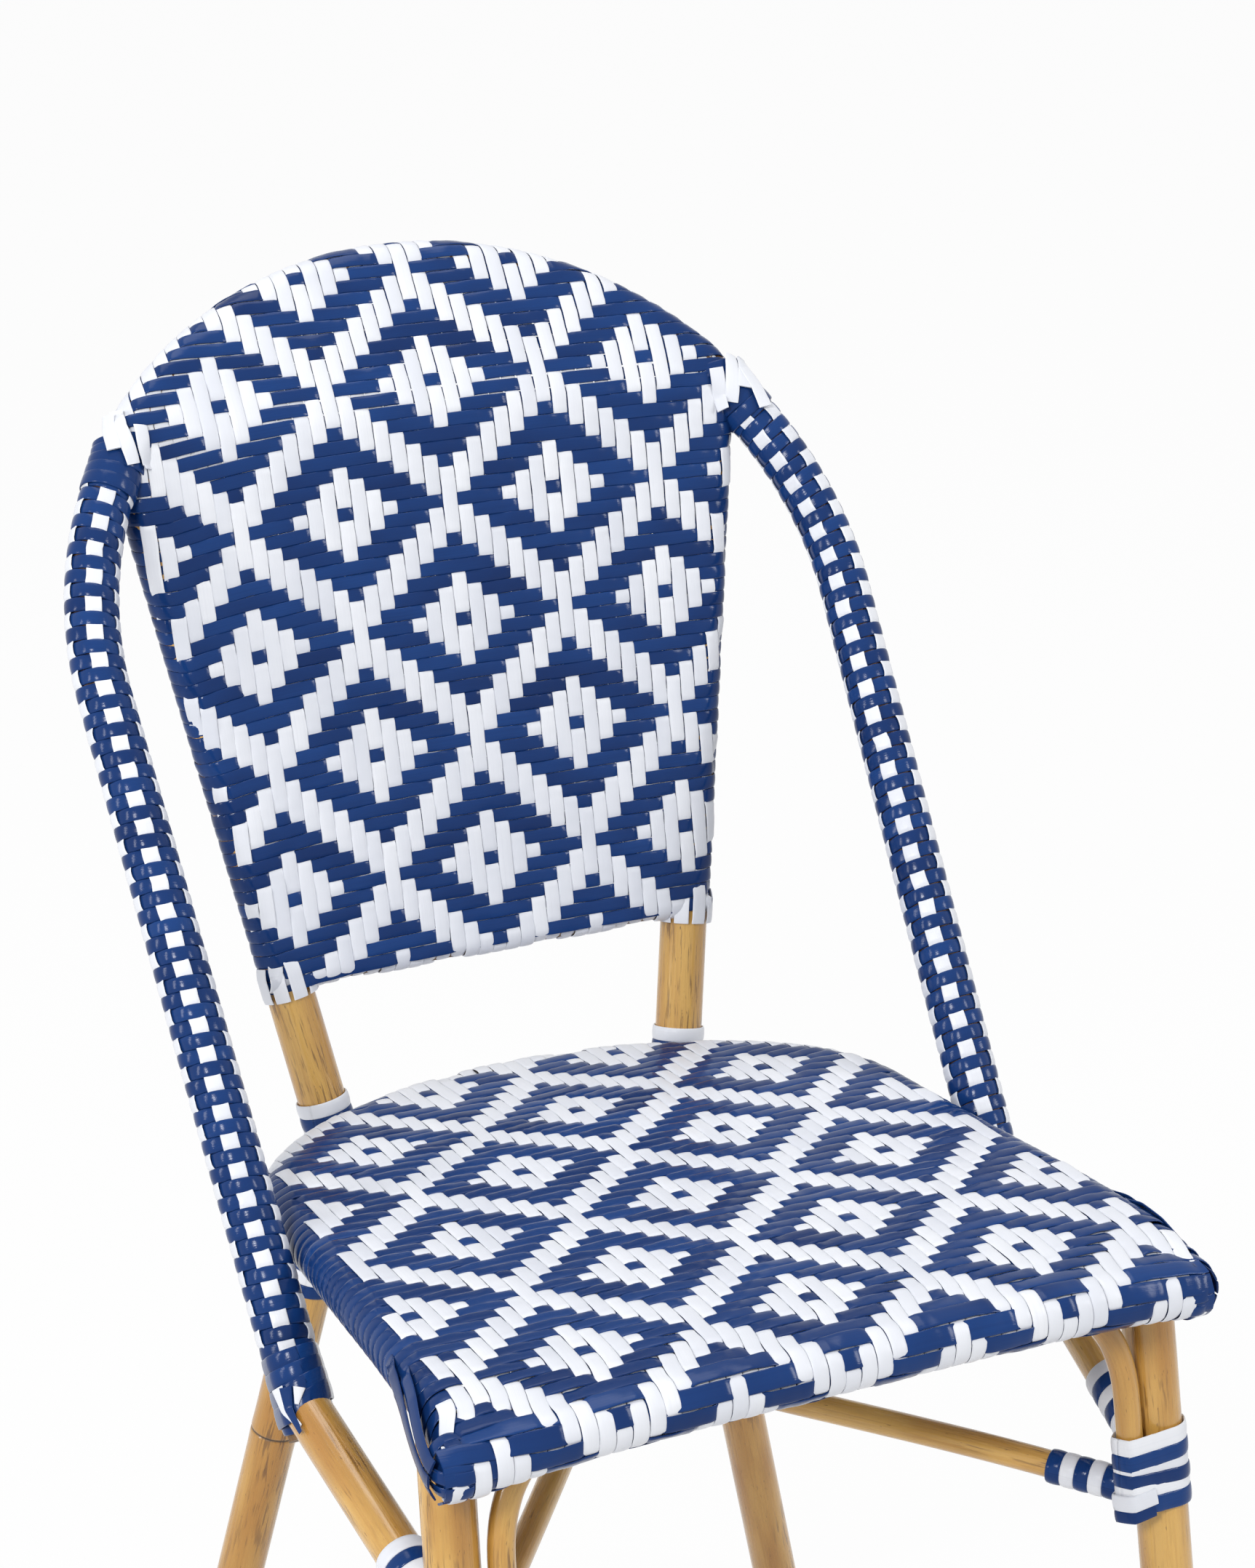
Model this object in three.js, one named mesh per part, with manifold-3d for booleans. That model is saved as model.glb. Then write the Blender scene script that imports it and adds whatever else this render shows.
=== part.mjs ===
// A bistro chair with a hoop back: bamboo-coloured rattan poles, a woven seat and a woven back
// panel, and strips laced round the arms and wound round the joints. Millimetres, +Z up, front to -Y.
// The plan distances forward and back (Y) are measured from the heads of the front legs.
import * as THREE from 'three';
import { mergeVertices } from 'three/addons/utils/BufferGeometryUtils.js';
import Module from 'manifold-3d';

const wasm = await Module();
wasm.setup();

// Poles
const POLE_DIAMETER = 28;
const HOOP_DIAMETER = 26;
const SIDE_BRACE_DIAMETER = 25;
const CROSS_BRACE_DIAMETER = 15;
const ARCH_BRACE_DIAMETER = 14;
const RING_DIAMETER = 24;
const RAIL_DIAMETER = 18;
const POLE_SIDES = 12;
const SLIM_SIDES = 10;

// Clearances
const GAP = 0.3;
const OVERRUN = 12;
const END_SETBACK = 6;

// Seat: a flat front, tapering sides and a back that is half an ellipse, all along the ring's axis
const SEAT_HEIGHT = 450;
const SEAT_FALL = 19;
const RING_FRONT_HALF = 200;
const RING_SHOULDER_HALF = 182;
const RING_FRONT_Y = -42;
const RING_SHOULDER_Y = 245;
const RING_BACK_DEPTH = 138;
const RING_CORNER = 10;
const RING_FRONT_STEPS = 2;
const RING_CORNER_STEPS = 5;
const RING_SIDE_STEPS = 5;
const RING_BACK_STEPS = 10;
const TIP_DROOP = 7;
const RING_WRAP_RADIUS = 15;
const SEAT_SHEET = 3;
const FRONT_RAIL_Y = -9;
const MIDDLE_RAIL_Y = 190;
// How far the seat has fallen, as a share of SEAT_FALL, at shares of its depth
const SEAT_PROFILE_SHARES = [
  [0, 0.1], [0.1, 0], [0.27, 0.05], [0.44, 0.29], [0.61, 0.47], [0.77, 0.6], [1, 1],
];

// Front legs, straight, raked forward and splayed outward from their heads under the seat ring
const FRONT_LEG_HEAD_Y = 2;
const FRONT_LEG_SPLAY = 12;
const FRONT_LEG_RAKE = 56;

// Rear legs, each one pole with a knee below the seat, running up as a back post
const KNEE_HALF = 108.5;
const KNEE_SETBACK = 27.5;
const KNEE_DROP = 57.5;
const KNEE_RADIUS = 70;
const KNEE_STEPS = 5;
const REAR_LEG_SPLAY = 91.5;
const REAR_LEG_RAKE = 54.5;

// Outer hoop: an arch over the back whose two straight arms run down and forward past the seat
const HOOP_OUTSET = 46;
const HOOP_LEAN = THREE.MathUtils.degToRad(34.8);
const HOOP_TAIL_Y = 151;
const HOOP_TAIL_DROP = 99;
const ARM_LENGTH = 419.5;
const ARM_TOE_IN = 15;
const SHOULDER_ANGLE = THREE.MathUtils.degToRad(37.5);
const ARM_STEPS = 6;
const SHOULDER_STEPS = 4;
const CROWN_STEPS = 7;

// Woven back panel and strips
const LACING_THICKNESS = 1.3;
const PANEL_SHEET = 3;
const BACK_RAIL_RISE = 56.5;
const PANEL_FOOT_DROP = 13.5;
const PANEL_LOWER_ROWS = 6;
const SHEET_COLUMN_SHARES = [-1, -0.75, -0.5, -0.25, 0, 0.25, 0.5, 0.75, 1];

// Braces under the seat
const SIDE_BRACE_HEAD_Y = 164;
const SIDE_BRACE_HEAD_OUTSET = 12;
const SIDE_BRACE_HEAD_RISE = 14;
const ARCH_BRACE_CLEARANCE = 2.8;
const ARCH_BRACE_CORNER = 68;
const ARCH_BRACE_STEPS = 7;
const ARCH_BRACE_TURN = THREE.MathUtils.degToRad(23);
const CROSS_BRACE_REAR_DROP = 123.5;

// Bindings: flat strips wound round the joints
const WRAP_PITCH = 8.6;
const WRAP_WIDTH = 7.8;
const WRAP_THICKNESS = 1.6;
const WRAP_STEPS = 12;
const CROSS_WRAP_LOOPS = 5;
const SIDE_WRAP_LOOPS = 4;
const POST_WRAP_LOOPS = 2;
const POST_WRAP_DROP = 20;
const LEG_BINDING_DROP = 114;
const LEG_BINDING_LENGTH = 43;
const REAR_BINDING_LENGTH = 42;
const BELT_ARC_STEPS = 8;
// Corners of the strip's section, as shares of its width and its thickness
const STRIP_CORNER_SHARES = [[-0.5, 0], [-0.42, -0.5], [0.42, -0.5], [0.5, 0], [0.42, 0.5], [-0.42, 0.5]];

// Foot glides
const GLIDE_DIAMETER = 24;
const GLIDE_HEIGHT = 6;
const GLIDE_CHAMFER = 1.5;
const GLIDE_SIDES = 20;

// Sizes that follow from the ones above
const POLE_RADIUS = POLE_DIAMETER / 2;
const CROSS_RADIUS = CROSS_BRACE_DIAMETER / 2;
const ARCH_BRACE_RADIUS = ARCH_BRACE_DIAMETER / 2;
const RING_RADIUS = RING_DIAMETER / 2;
const RAIL_RADIUS = RAIL_DIAMETER / 2;
const HOOP_POLE_RADIUS = HOOP_DIAMETER / 2;
const SIDE_BRACE_RADIUS = SIDE_BRACE_DIAMETER / 2;
const LACING_RADIUS = HOOP_POLE_RADIUS + GAP + LACING_THICKNESS;
const POST_SLEEVE_RADIUS = POLE_RADIUS + GAP + LACING_THICKNESS;
const BINDING_RADIUS = POLE_RADIUS + GAP + WRAP_THICKNESS;
const POST_WRAP_RADIUS = (POLE_RADIUS + GAP) / Math.cos(Math.PI / WRAP_STEPS) + WRAP_THICKNESS;
const RING_BACK_Y = RING_SHOULDER_Y + RING_BACK_DEPTH;
const HOOP_RADIUS = RING_SHOULDER_HALF + HOOP_OUTSET;
const HOOP_TAIL_HEIGHT = SEAT_HEIGHT - HOOP_TAIL_DROP;
const KNEE_HEIGHT = SEAT_HEIGHT - KNEE_DROP;
const KNEE_Y = ringBackAt(KNEE_HALF) + KNEE_SETBACK;
const REAR_FOOT_HALF = KNEE_HALF + REAR_LEG_SPLAY;
const REAR_FOOT_Y = KNEE_Y + REAR_LEG_RAKE;
const BACK_RAIL_HEIGHT = SEAT_HEIGHT + BACK_RAIL_RISE;
const PANEL_FOOT_HEIGHT = BACK_RAIL_HEIGHT - PANEL_FOOT_DROP;
const POST_WRAP_TOP = SEAT_HEIGHT - POST_WRAP_DROP;
const LEG_BINDING_TOP = SEAT_HEIGHT - LEG_BINDING_DROP;
const LEG_BINDING_BOTTOM = LEG_BINDING_TOP - LEG_BINDING_LENGTH;
const SIDE_BRACE_FOOT_HEIGHT = (LEG_BINDING_TOP + LEG_BINDING_BOTTOM) / 2;
const ARCH_BRACE_FOOT_HEIGHT = LEG_BINDING_BOTTOM + ARCH_BRACE_CLEARANCE;
const CROSS_BRACE_FRONT_HEIGHT = LEG_BINDING_BOTTOM;
const CROSS_BRACE_REAR_HEIGHT = SEAT_HEIGHT - CROSS_BRACE_REAR_DROP;
const REAR_BINDING_TOP = CROSS_BRACE_REAR_HEIGHT + REAR_BINDING_LENGTH / 2;
const REAR_BINDING_BOTTOM = CROSS_BRACE_REAR_HEIGHT - REAR_BINDING_LENGTH / 2;

const poleMaterial = new THREE.MeshStandardMaterial({ color: 0xc39a55, roughness: 0.35, metalness: 0 });
const frameMaterial = new THREE.MeshStandardMaterial({ color: 0xb08a52, roughness: 0.7, metalness: 0 });
const weaveMaterial = new THREE.MeshStandardMaterial({ color: 0x243e7d, roughness: 0.4, metalness: 0 });
const stripMaterial = new THREE.MeshStandardMaterial({ color: 0xe6e8ec, roughness: 0.4, metalness: 0 });
const glideMaterial = new THREE.MeshStandardMaterial({ color: 0x2a2520, roughness: 0.8, metalness: 0 });

const chair = new THREE.Group();

// A curve stepped from station to station, so that straight stretches take few steps
class StationCurve extends THREE.CatmullRomCurve3 {
  getPointAt(share, target) {
    return this.getPoint(share, target);
  }

  getTangentAt(share, target) {
    return this.getTangent(share, target);
  }
}

function point(x, y, z) {
  return new THREE.Vector3(x, y, z);
}

// Plan distance of the ring's axis on its rounded back, at a distance from the middle
function ringBackAt(x) {
  return RING_SHOULDER_Y + RING_BACK_DEPTH * Math.sqrt(1 - (x / RING_SHOULDER_HALF) ** 2);
}

// The point that a straight line from one point through another reaches at a height
function atHeight(from, to, height) {
  return from.clone().lerp(to, (height - from.z) / (to.z - from.z));
}

// Stations along straight runs whose corners are rounded
function roundedStations(corners, radius, steps) {
  const stations = [corners[0]];
  for (let i = 1; i < corners.length - 1; i += 1) {
    const corner = corners[i];
    const towardsLast = corners[i - 1].clone().sub(corner).normalize();
    const towardsNext = corners[i + 1].clone().sub(corner).normalize();
    const reach = radius / Math.tan(towardsLast.angleTo(towardsNext) / 2);
    const start = corner.clone().addScaledVector(towardsLast, reach);
    const end = corner.clone().addScaledVector(towardsNext, reach);
    stations.push(...new THREE.QuadraticBezierCurve3(start, corner, end).getPoints(steps));
  }
  stations.push(corners[corners.length - 1]);
  return stations;
}

function circleShape(radius, sides) {
  const corners = [];
  for (let i = 0; i < sides; i += 1) {
    const angle = (2 * Math.PI * i) / sides;
    corners.push(new THREE.Vector2(radius * Math.cos(angle), radius * Math.sin(angle)));
  }
  return new THREE.Shape(corners);
}

// A round pole along its stations
function pole(stations, radius, sides = POLE_SIDES) {
  const path = new StationCurve(stations);
  const steps = stations.length - 1;
  return new THREE.ExtrudeGeometry(circleShape(radius, sides), { extrudePath: path, steps });
}

// Stations carried on in a straight line past either end
function carriedOn(stations, before, after) {
  const last = stations.length - 1;
  const start = stations[0].clone().sub(stations[1]).setLength(before).add(stations[0]);
  const end = stations[last].clone().sub(stations[last - 1]).setLength(after).add(stations[last]);
  const middle = stations.slice(before > 0 ? 0 : 1, after > 0 ? stations.length : last);
  return [start, ...middle, end];
}

// The room a pole needs: its flats stand one gap outside the pole
function room(stations, radius, sides = POLE_SIDES) {
  return solid(pole(stations, (radius + GAP) / Math.cos(Math.PI / sides), sides));
}

function solid(geometry) {
  const bare = geometry.clone();
  bare.deleteAttribute('normal');
  bare.deleteAttribute('uv');
  const merged = mergeVertices(bare);
  const vertProperties = merged.attributes.position.array;
  const triVerts = new Uint32Array(merged.index.array);
  return new wasm.Manifold(new wasm.Mesh({ numProp: 3, vertProperties, triVerts }));
}

function geometryOf(body) {
  const { vertProperties, triVerts } = body.getMesh();
  const geometry = new THREE.BufferGeometry();
  geometry.setAttribute('position', new THREE.BufferAttribute(vertProperties, 3));
  geometry.setIndex(new THREE.BufferAttribute(triVerts, 1));
  geometry.computeVertexNormals();
  return geometry;
}

function cut(body, cutters) {
  return cutters.reduce((left, cutter) => left.subtract(cutter), body);
}

function join(bodies) {
  return bodies.reduce((sum, body) => sum.add(body));
}

function addPiece(name, geometry, material) {
  const mesh = new THREE.Mesh(geometry, material);
  mesh.name = name;
  chair.add(mesh);
  return mesh;
}

// A closed sheet: a grid of points and the same grid set back by one thickness
function sheet(rows, setBack) {
  const columns = rows[0].length;
  const front = rows.flat();
  const back = front.map((place) => place.clone().add(setBack));
  const index = [];
  const quad = (a, b, c, d) => index.push(a, b, c, a, c, d);
  const at = (row, column) => row * columns + column;
  const behind = (row, column) => front.length + at(row, column);
  for (let row = 0; row < rows.length - 1; row += 1) {
    for (let column = 0; column < columns - 1; column += 1) {
      quad(at(row, column), at(row, column + 1), at(row + 1, column + 1), at(row + 1, column));
      const across = column + 1;
      quad(behind(row, column), behind(row + 1, column), behind(row + 1, across), behind(row, across));
    }
    const end = columns - 1;
    quad(at(row, 0), at(row + 1, 0), behind(row + 1, 0), behind(row, 0));
    quad(at(row, end), behind(row, end), behind(row + 1, end), at(row + 1, end));
  }
  const top = rows.length - 1;
  for (let column = 0; column < columns - 1; column += 1) {
    quad(at(0, column), behind(0, column), behind(0, column + 1), at(0, column + 1));
    quad(at(top, column), at(top, column + 1), behind(top, column + 1), behind(top, column));
  }
  const geometry = new THREE.BufferGeometry().setFromPoints([...front, ...back]);
  geometry.setIndex(index);
  return geometry;
}

// Height of the top of the woven seat: level near the front legs, falling to the back, low at the tips
function seatTop(x, y) {
  const depthShare = THREE.MathUtils.clamp((y - RING_FRONT_Y) / (RING_BACK_Y - RING_FRONT_Y), 0, 1);
  const next = Math.max(1, SEAT_PROFILE_SHARES.findIndex(([share]) => share >= depthShare));
  const [nearShare, nearFall] = SEAT_PROFILE_SHARES[next - 1];
  const [farShare, farFall] = SEAT_PROFILE_SHARES[next];
  const fall = THREE.MathUtils.mapLinear(depthShare, nearShare, farShare, nearFall, farFall);
  const outward = Math.min(1, Math.abs(x) / RING_FRONT_HALF) ** 4;
  const forward = THREE.MathUtils.clamp(y / RING_FRONT_Y, 0, 1);
  return SEAT_HEIGHT - fall * SEAT_FALL - TIP_DROOP * outward * forward;
}

// Right half of the seat ring's axis in plan, from the front centre round to the back centre
function ringHalfPlan() {
  const corner = new THREE.QuadraticBezierCurve(
    new THREE.Vector2(RING_FRONT_HALF - RING_CORNER, RING_FRONT_Y),
    new THREE.Vector2(RING_FRONT_HALF, RING_FRONT_Y),
    new THREE.Vector2(RING_FRONT_HALF, RING_FRONT_Y + RING_CORNER),
  );
  const side = new THREE.LineCurve(corner.v2, new THREE.Vector2(RING_SHOULDER_HALF, RING_SHOULDER_Y));
  const quarter = Math.PI / 2;
  const back = new THREE.EllipseCurve(0, RING_SHOULDER_Y, RING_SHOULDER_HALF, RING_BACK_DEPTH, 0, quarter);
  const front = new THREE.LineCurve(new THREE.Vector2(0, RING_FRONT_Y), corner.v0);
  return [
    ...front.getPoints(RING_FRONT_STEPS).slice(0, -1),
    ...corner.getPoints(RING_CORNER_STEPS).slice(0, -1),
    ...side.getPoints(RING_SIDE_STEPS).slice(0, -1),
    ...back.getPoints(RING_BACK_STEPS),
  ];
}

const ringPlan = ringHalfPlan();
const ringPlace = (x, y) => point(x, y, seatTop(x, y) - RING_WRAP_RADIUS);
const ringStations = [
  ...ringPlan.map(({ x, y }) => ringPlace(x, y)),
  ...ringPlan.slice(1, -1).reverse().map(({ x, y }) => ringPlace(-x, y)),
];

function ringTube(radius) {
  const path = new StationCurve(ringStations, true);
  return solid(new THREE.TubeGeometry(path, ringStations.length, radius, SLIM_SIDES, true));
}

// Half the width of the ring's axis at a plan distance
function ringHalfWidth(y) {
  const next = ringPlan.findIndex((place, i) => i > 0 && place.y > y);
  const near = ringPlan[next - 1];
  const far = ringPlan[next];
  return THREE.MathUtils.mapLinear(y, near.y, far.y, near.x, far.x);
}

// Points of the hoop, by the distance up its leaning plane
function hoopPoint(half, upPlane) {
  const y = HOOP_TAIL_Y + upPlane * Math.sin(HOOP_LEAN);
  return point(half, y, HOOP_TAIL_HEIGHT + upPlane * Math.cos(HOOP_LEAN));
}

function archPoint(angle) {
  return hoopPoint(HOOP_RADIUS * Math.cos(angle), ARM_LENGTH + HOOP_RADIUS * Math.sin(angle));
}

// Right half of the hoop: the arm from its tail to the shoulder, then the crown up to the apex
function armStations(side) {
  const stations = [];
  for (let i = 0; i < ARM_STEPS; i += 1) {
    const share = i / ARM_STEPS;
    stations.push(hoopPoint(HOOP_RADIUS - ARM_TOE_IN * (1 - share), ARM_LENGTH * share));
  }
  for (let i = 0; i <= SHOULDER_STEPS; i += 1) {
    stations.push(archPoint((SHOULDER_ANGLE * i) / SHOULDER_STEPS));
  }
  return stations.map((place) => point(side * place.x, place.y, place.z));
}

function crownStations() {
  const stations = [];
  for (let i = -CROWN_STEPS; i <= CROWN_STEPS; i += 1) {
    const angle = Math.PI / 2 - ((Math.PI / 2 - SHOULDER_ANGLE) * i) / CROWN_STEPS;
    stations.push(archPoint(angle));
  }
  return stations;
}

const crown = crownStations();
const hoopStations = [...armStations(-1).slice(0, -1), ...crown, ...armStations(1).reverse().slice(1)];
const hoopRoom = room(carriedOn(hoopStations, OVERRUN, OVERRUN), HOOP_POLE_RADIUS);

// The axis of each leg, brace and post on one side: side is -1 on the left and 1 on the right
function sideAxes(side) {
  const headHalf = ringHalfWidth(FRONT_LEG_HEAD_Y);
  const frontHead = ringPlace(side * headHalf, FRONT_LEG_HEAD_Y);
  frontHead.z -= END_SETBACK;
  const frontFoot = point(side * (headHalf + FRONT_LEG_SPLAY), FRONT_LEG_HEAD_Y - FRONT_LEG_RAKE, 0);
  const shoulder = archPoint(SHOULDER_ANGLE);
  shoulder.x *= side;
  const knee = point(side * KNEE_HALF, KNEE_Y, KNEE_HEIGHT);
  const postHead = knee.clone().sub(shoulder).setLength(END_SETBACK).add(shoulder);
  const rearFoot = point(side * REAR_FOOT_HALF, REAR_FOOT_Y, 0);
  const braceFoot = atHeight(frontHead, frontFoot, SIDE_BRACE_FOOT_HEIGHT);
  const upArm = (SIDE_BRACE_HEAD_Y - HOOP_TAIL_Y) / Math.sin(HOOP_LEAN);
  const armHalf = HOOP_RADIUS - ARM_TOE_IN * (1 - upArm / ARM_LENGTH);
  const braceHead = hoopPoint(armHalf + SIDE_BRACE_HEAD_OUTSET, upArm);
  braceHead.x *= side;
  braceHead.z += SIDE_BRACE_HEAD_RISE;
  return { frontHead, frontFoot, shoulder, knee, postHead, rearFoot, brace: [braceFoot, braceHead] };
}

// The stretch of a back post that its wrap covers beside the seat ring
function postWrapStations(knee, postHead) {
  const top = atHeight(knee, postHead, POST_WRAP_TOP);
  const length = POST_WRAP_LOOPS * WRAP_PITCH + WRAP_WIDTH;
  return [top, knee.clone().sub(top).setLength(length).add(top)];
}

const sides = [['left', -1], ['right', 1]];
const axes = { left: sideAxes(-1), right: sideAxes(1) };

function rearLegStations({ postHead, knee, rearFoot }) {
  return roundedStations([postHead, knee, rearFoot], KNEE_RADIUS, KNEE_STEPS);
}

// The front arch brace stands against the front legs and turns under the front rail
const frontRailHeight = seatTop(0, FRONT_RAIL_Y) - SEAT_SHEET - GAP - RAIL_RADIUS;
const archCrownHeight = frontRailHeight - RAIL_RADIUS - GAP - ARCH_BRACE_RADIUS;
const archOffset = POLE_RADIUS + ARCH_BRACE_RADIUS + ARCH_BRACE_CLEARANCE;

function archBraceEnd(side) {
  const { frontHead, frontFoot } = side < 0 ? axes.left : axes.right;
  const offset = point(-side * Math.cos(ARCH_BRACE_TURN), -Math.sin(ARCH_BRACE_TURN), 0);
  offset.multiplyScalar(archOffset);
  const foot = atHeight(frontHead, frontFoot, ARCH_BRACE_FOOT_HEIGHT).add(offset);
  const corner = atHeight(frontHead, frontFoot, archCrownHeight).add(offset);
  corner.y = FRONT_RAIL_Y;
  return [foot, corner];
}

const archBraceStations = roundedStations(
  [...archBraceEnd(-1), ...archBraceEnd(1).reverse()],
  ARCH_BRACE_CORNER,
  ARCH_BRACE_STEPS,
);
const archBraceRoom = room(carriedOn(archBraceStations, OVERRUN, OVERRUN), ARCH_BRACE_RADIUS, SLIM_SIDES);

// A cross brace runs from a front leg to the far rear leg, over or under its twin at the middle
function crossBraceStations(near, far, lift) {
  const start = atHeight(near.frontHead, near.frontFoot, CROSS_BRACE_FRONT_HEIGHT);
  const end = atHeight(far.knee, far.rearFoot, CROSS_BRACE_REAR_HEIGHT);
  const middle = start.clone().lerp(end, start.x / (start.x - end.x));
  middle.z += lift * (CROSS_RADIUS + GAP);
  return [start, start.clone().lerp(middle, 0.5), middle, middle.clone().lerp(end, 0.5), end];
}

const crossBraces = {
  left: crossBraceStations(axes.left, axes.right, 1),
  right: crossBraceStations(axes.right, axes.left, -1),
};

// Legs are cut level above the glides
const floorCut = new THREE.BoxGeometry(
  2 * REAR_FOOT_HALF + 4 * POLE_DIAMETER,
  2 * REAR_FOOT_Y + 4 * POLE_DIAMETER,
  2 * OVERRUN,
);
floorCut.translate(0, 0, GLIDE_HEIGHT + GAP - OVERRUN);
const floorRoom = solid(floorCut);

const ringRoom = ringTube((RING_RADIUS + GAP) / Math.cos(Math.PI / SLIM_SIDES));
const rooms = {};
for (const [name] of sides) {
  const { frontHead, frontFoot, brace, postHead, knee } = axes[name];
  const sleeve = carriedOn([atHeight(knee, postHead, PANEL_FOOT_HEIGHT), postHead], GAP, GAP);
  rooms[name] = {
    frontLeg: room([frontHead, frontFoot], POLE_RADIUS),
    rearLeg: room(carriedOn(rearLegStations(axes[name]), GAP, GAP), POLE_RADIUS),
    brace: room(brace, SIDE_BRACE_RADIUS),
    cross: room(crossBraces[name], CROSS_RADIUS, SLIM_SIDES),
    lacing: room(armStations(name === 'left' ? -1 : 1), LACING_RADIUS),
    postSleeve: room(sleeve, POST_SLEEVE_RADIUS),
    postWrap: room(postWrapStations(knee, postHead), POST_WRAP_RADIUS),
  };
}
const bothRooms = (key) => [rooms.left[key], rooms.right[key]];

// Frame poles
addPiece('outer_hoop', pole(hoopStations, HOOP_POLE_RADIUS), poleMaterial);
for (const [name] of sides) {
  const { frontHead, frontFoot, brace } = axes[name];
  const far = name === 'left' ? 'right' : 'left';
  const frontLeg = cut(solid(pole([frontHead, frontFoot], POLE_RADIUS)), [ringRoom, floorRoom]);
  addPiece(`front_leg_${name}`, geometryOf(frontLeg), poleMaterial);
  const rearLeg = cut(solid(pole(rearLegStations(axes[name]), POLE_RADIUS)), [hoopRoom, floorRoom]);
  addPiece(`rear_leg_${name}`, geometryOf(rearLeg), poleMaterial);
  const sideBrace = cut(solid(pole(brace, SIDE_BRACE_RADIUS)), [hoopRoom, rooms[name].frontLeg]);
  addPiece(`side_brace_${name}`, geometryOf(sideBrace), poleMaterial);
  const cross = solid(pole(crossBraces[name], CROSS_RADIUS, SLIM_SIDES));
  const crossEnds = [rooms[name].frontLeg, rooms[name].brace, rooms[far].rearLeg, archBraceRoom];
  addPiece(`cross_brace_${name}`, geometryOf(cut(cross, crossEnds)), poleMaterial);
}
addPiece('front_arch_brace', pole(archBraceStations, ARCH_BRACE_RADIUS, SLIM_SIDES), poleMaterial);

// Hidden frame of the seat and the back
addPiece('seat_ring', geometryOf(ringTube(RING_RADIUS)), frameMaterial);

function seatRailStations(y) {
  const height = seatTop(0, y) - SEAT_SHEET - GAP - RAIL_RADIUS;
  const half = ringHalfWidth(y);
  return [point(-half, y, height), point(half, y, height)];
}

const seatRails = {
  seat_front_rail: seatRailStations(FRONT_RAIL_Y),
  seat_middle_rail: seatRailStations(MIDDLE_RAIL_Y),
};
for (const [name, stations] of Object.entries(seatRails)) {
  const rail = cut(solid(pole(stations, RAIL_RADIUS, SLIM_SIDES)), [ringRoom, ...bothRooms('frontLeg')]);
  addPiece(name, geometryOf(rail), frameMaterial);
}

const postAtHeight = (side, height) => atHeight(axes[side].knee, axes[side].postHead, height);
const backRailStations = ['left', 'right'].map((name) => {
  const post = postAtHeight(name, BACK_RAIL_HEIGHT);
  return point(post.x, post.y - POST_SLEEVE_RADIUS + RAIL_RADIUS + GAP + LACING_THICKNESS, post.z);
});
const backRail = cut(solid(pole(backRailStations, RAIL_RADIUS, SLIM_SIDES)), bothRooms('rearLeg'));
addPiece('back_bottom_rail', geometryOf(backRail), frameMaterial);

// Woven seat: a sheet over the ring and the rails, with its strips turned round the ring
const seatRows = ringPlan
  .slice(2, -2)
  .map(({ x, y }) => SHEET_COLUMN_SHARES.map((share) => point(share * x, y, seatTop(share * x, y))));
const seatWeave = cut(
  join([ringTube(RING_WRAP_RADIUS), solid(sheet(seatRows, point(0, 0, -SEAT_SHEET)))]),
  [
    ringRoom,
    ...Object.values(seatRails).map((stations) => room(stations, RAIL_RADIUS, SLIM_SIDES)),
    ...bothRooms('frontLeg'),
    ...bothRooms('rearLeg'),
    ...bothRooms('lacing'),
    ...bothRooms('postWrap'),
  ],
);
addPiece('seat_weave', geometryOf(seatWeave), weaveMaterial);

// The panel's front lies against the posts, and above their heads against the leaning crown
function panelPlace(x, z) {
  const { knee, shoulder } = axes.right;
  const onPosts = atHeight(knee, shoulder, z).y - POST_SLEEVE_RADIUS;
  const upPlane = (z - HOOP_TAIL_HEIGHT) / Math.cos(HOOP_LEAN);
  const onCrown = hoopPoint(0, upPlane).y - LACING_RADIUS / Math.cos(HOOP_LEAN);
  return point(x, Math.max(onPosts, onCrown), z);
}

function panelRows() {
  const rows = [];
  const { shoulder } = axes.right;
  for (let i = 0; i < PANEL_LOWER_ROWS; i += 1) {
    const height = THREE.MathUtils.lerp(BACK_RAIL_HEIGHT, shoulder.z, i / PANEL_LOWER_ROWS);
    rows.push([postAtHeight('right', height).x, height]);
  }
  for (const station of crown.slice(CROWN_STEPS + 1).reverse()) {
    rows.push([station.x, station.z + LACING_RADIUS * Math.sin(HOOP_LEAN)]);
  }
  return rows.map(([half, height]) => SHEET_COLUMN_SHARES.map((share) => panelPlace(share * half, height)));
}

const postSleeves = sides.map(([name]) => {
  const { postHead } = axes[name];
  return solid(pole([postAtHeight(name, PANEL_FOOT_HEIGHT), postHead], POST_SLEEVE_RADIUS));
});
const railSleeve = solid(pole(backRailStations, RAIL_RADIUS + GAP + LACING_THICKNESS, SLIM_SIDES));
const panelSheet = solid(sheet(panelRows(), point(0, PANEL_SHEET, 0)));
const backWeave = cut(
  join([solid(pole(crown, LACING_RADIUS)), ...postSleeves, railSleeve, panelSheet]),
  [hoopRoom, ...bothRooms('rearLeg'), room(backRailStations, RAIL_RADIUS, SLIM_SIDES)],
);
addPiece('back_weave', geometryOf(backWeave), weaveMaterial);

// Arm lacing, from the tail of the hoop up to the shoulder
const crownRoom = room(carriedOn(crown, END_SETBACK, END_SETBACK), LACING_RADIUS);
for (const [name, side] of sides) {
  const others = [hoopRoom, crownRoom, rooms[name].brace, rooms[name].postSleeve];
  const lacing = cut(solid(pole(armStations(side), LACING_RADIUS)), others);
  addPiece(`arm_lacing_${name}`, geometryOf(lacing), weaveMaterial);
}

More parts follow.
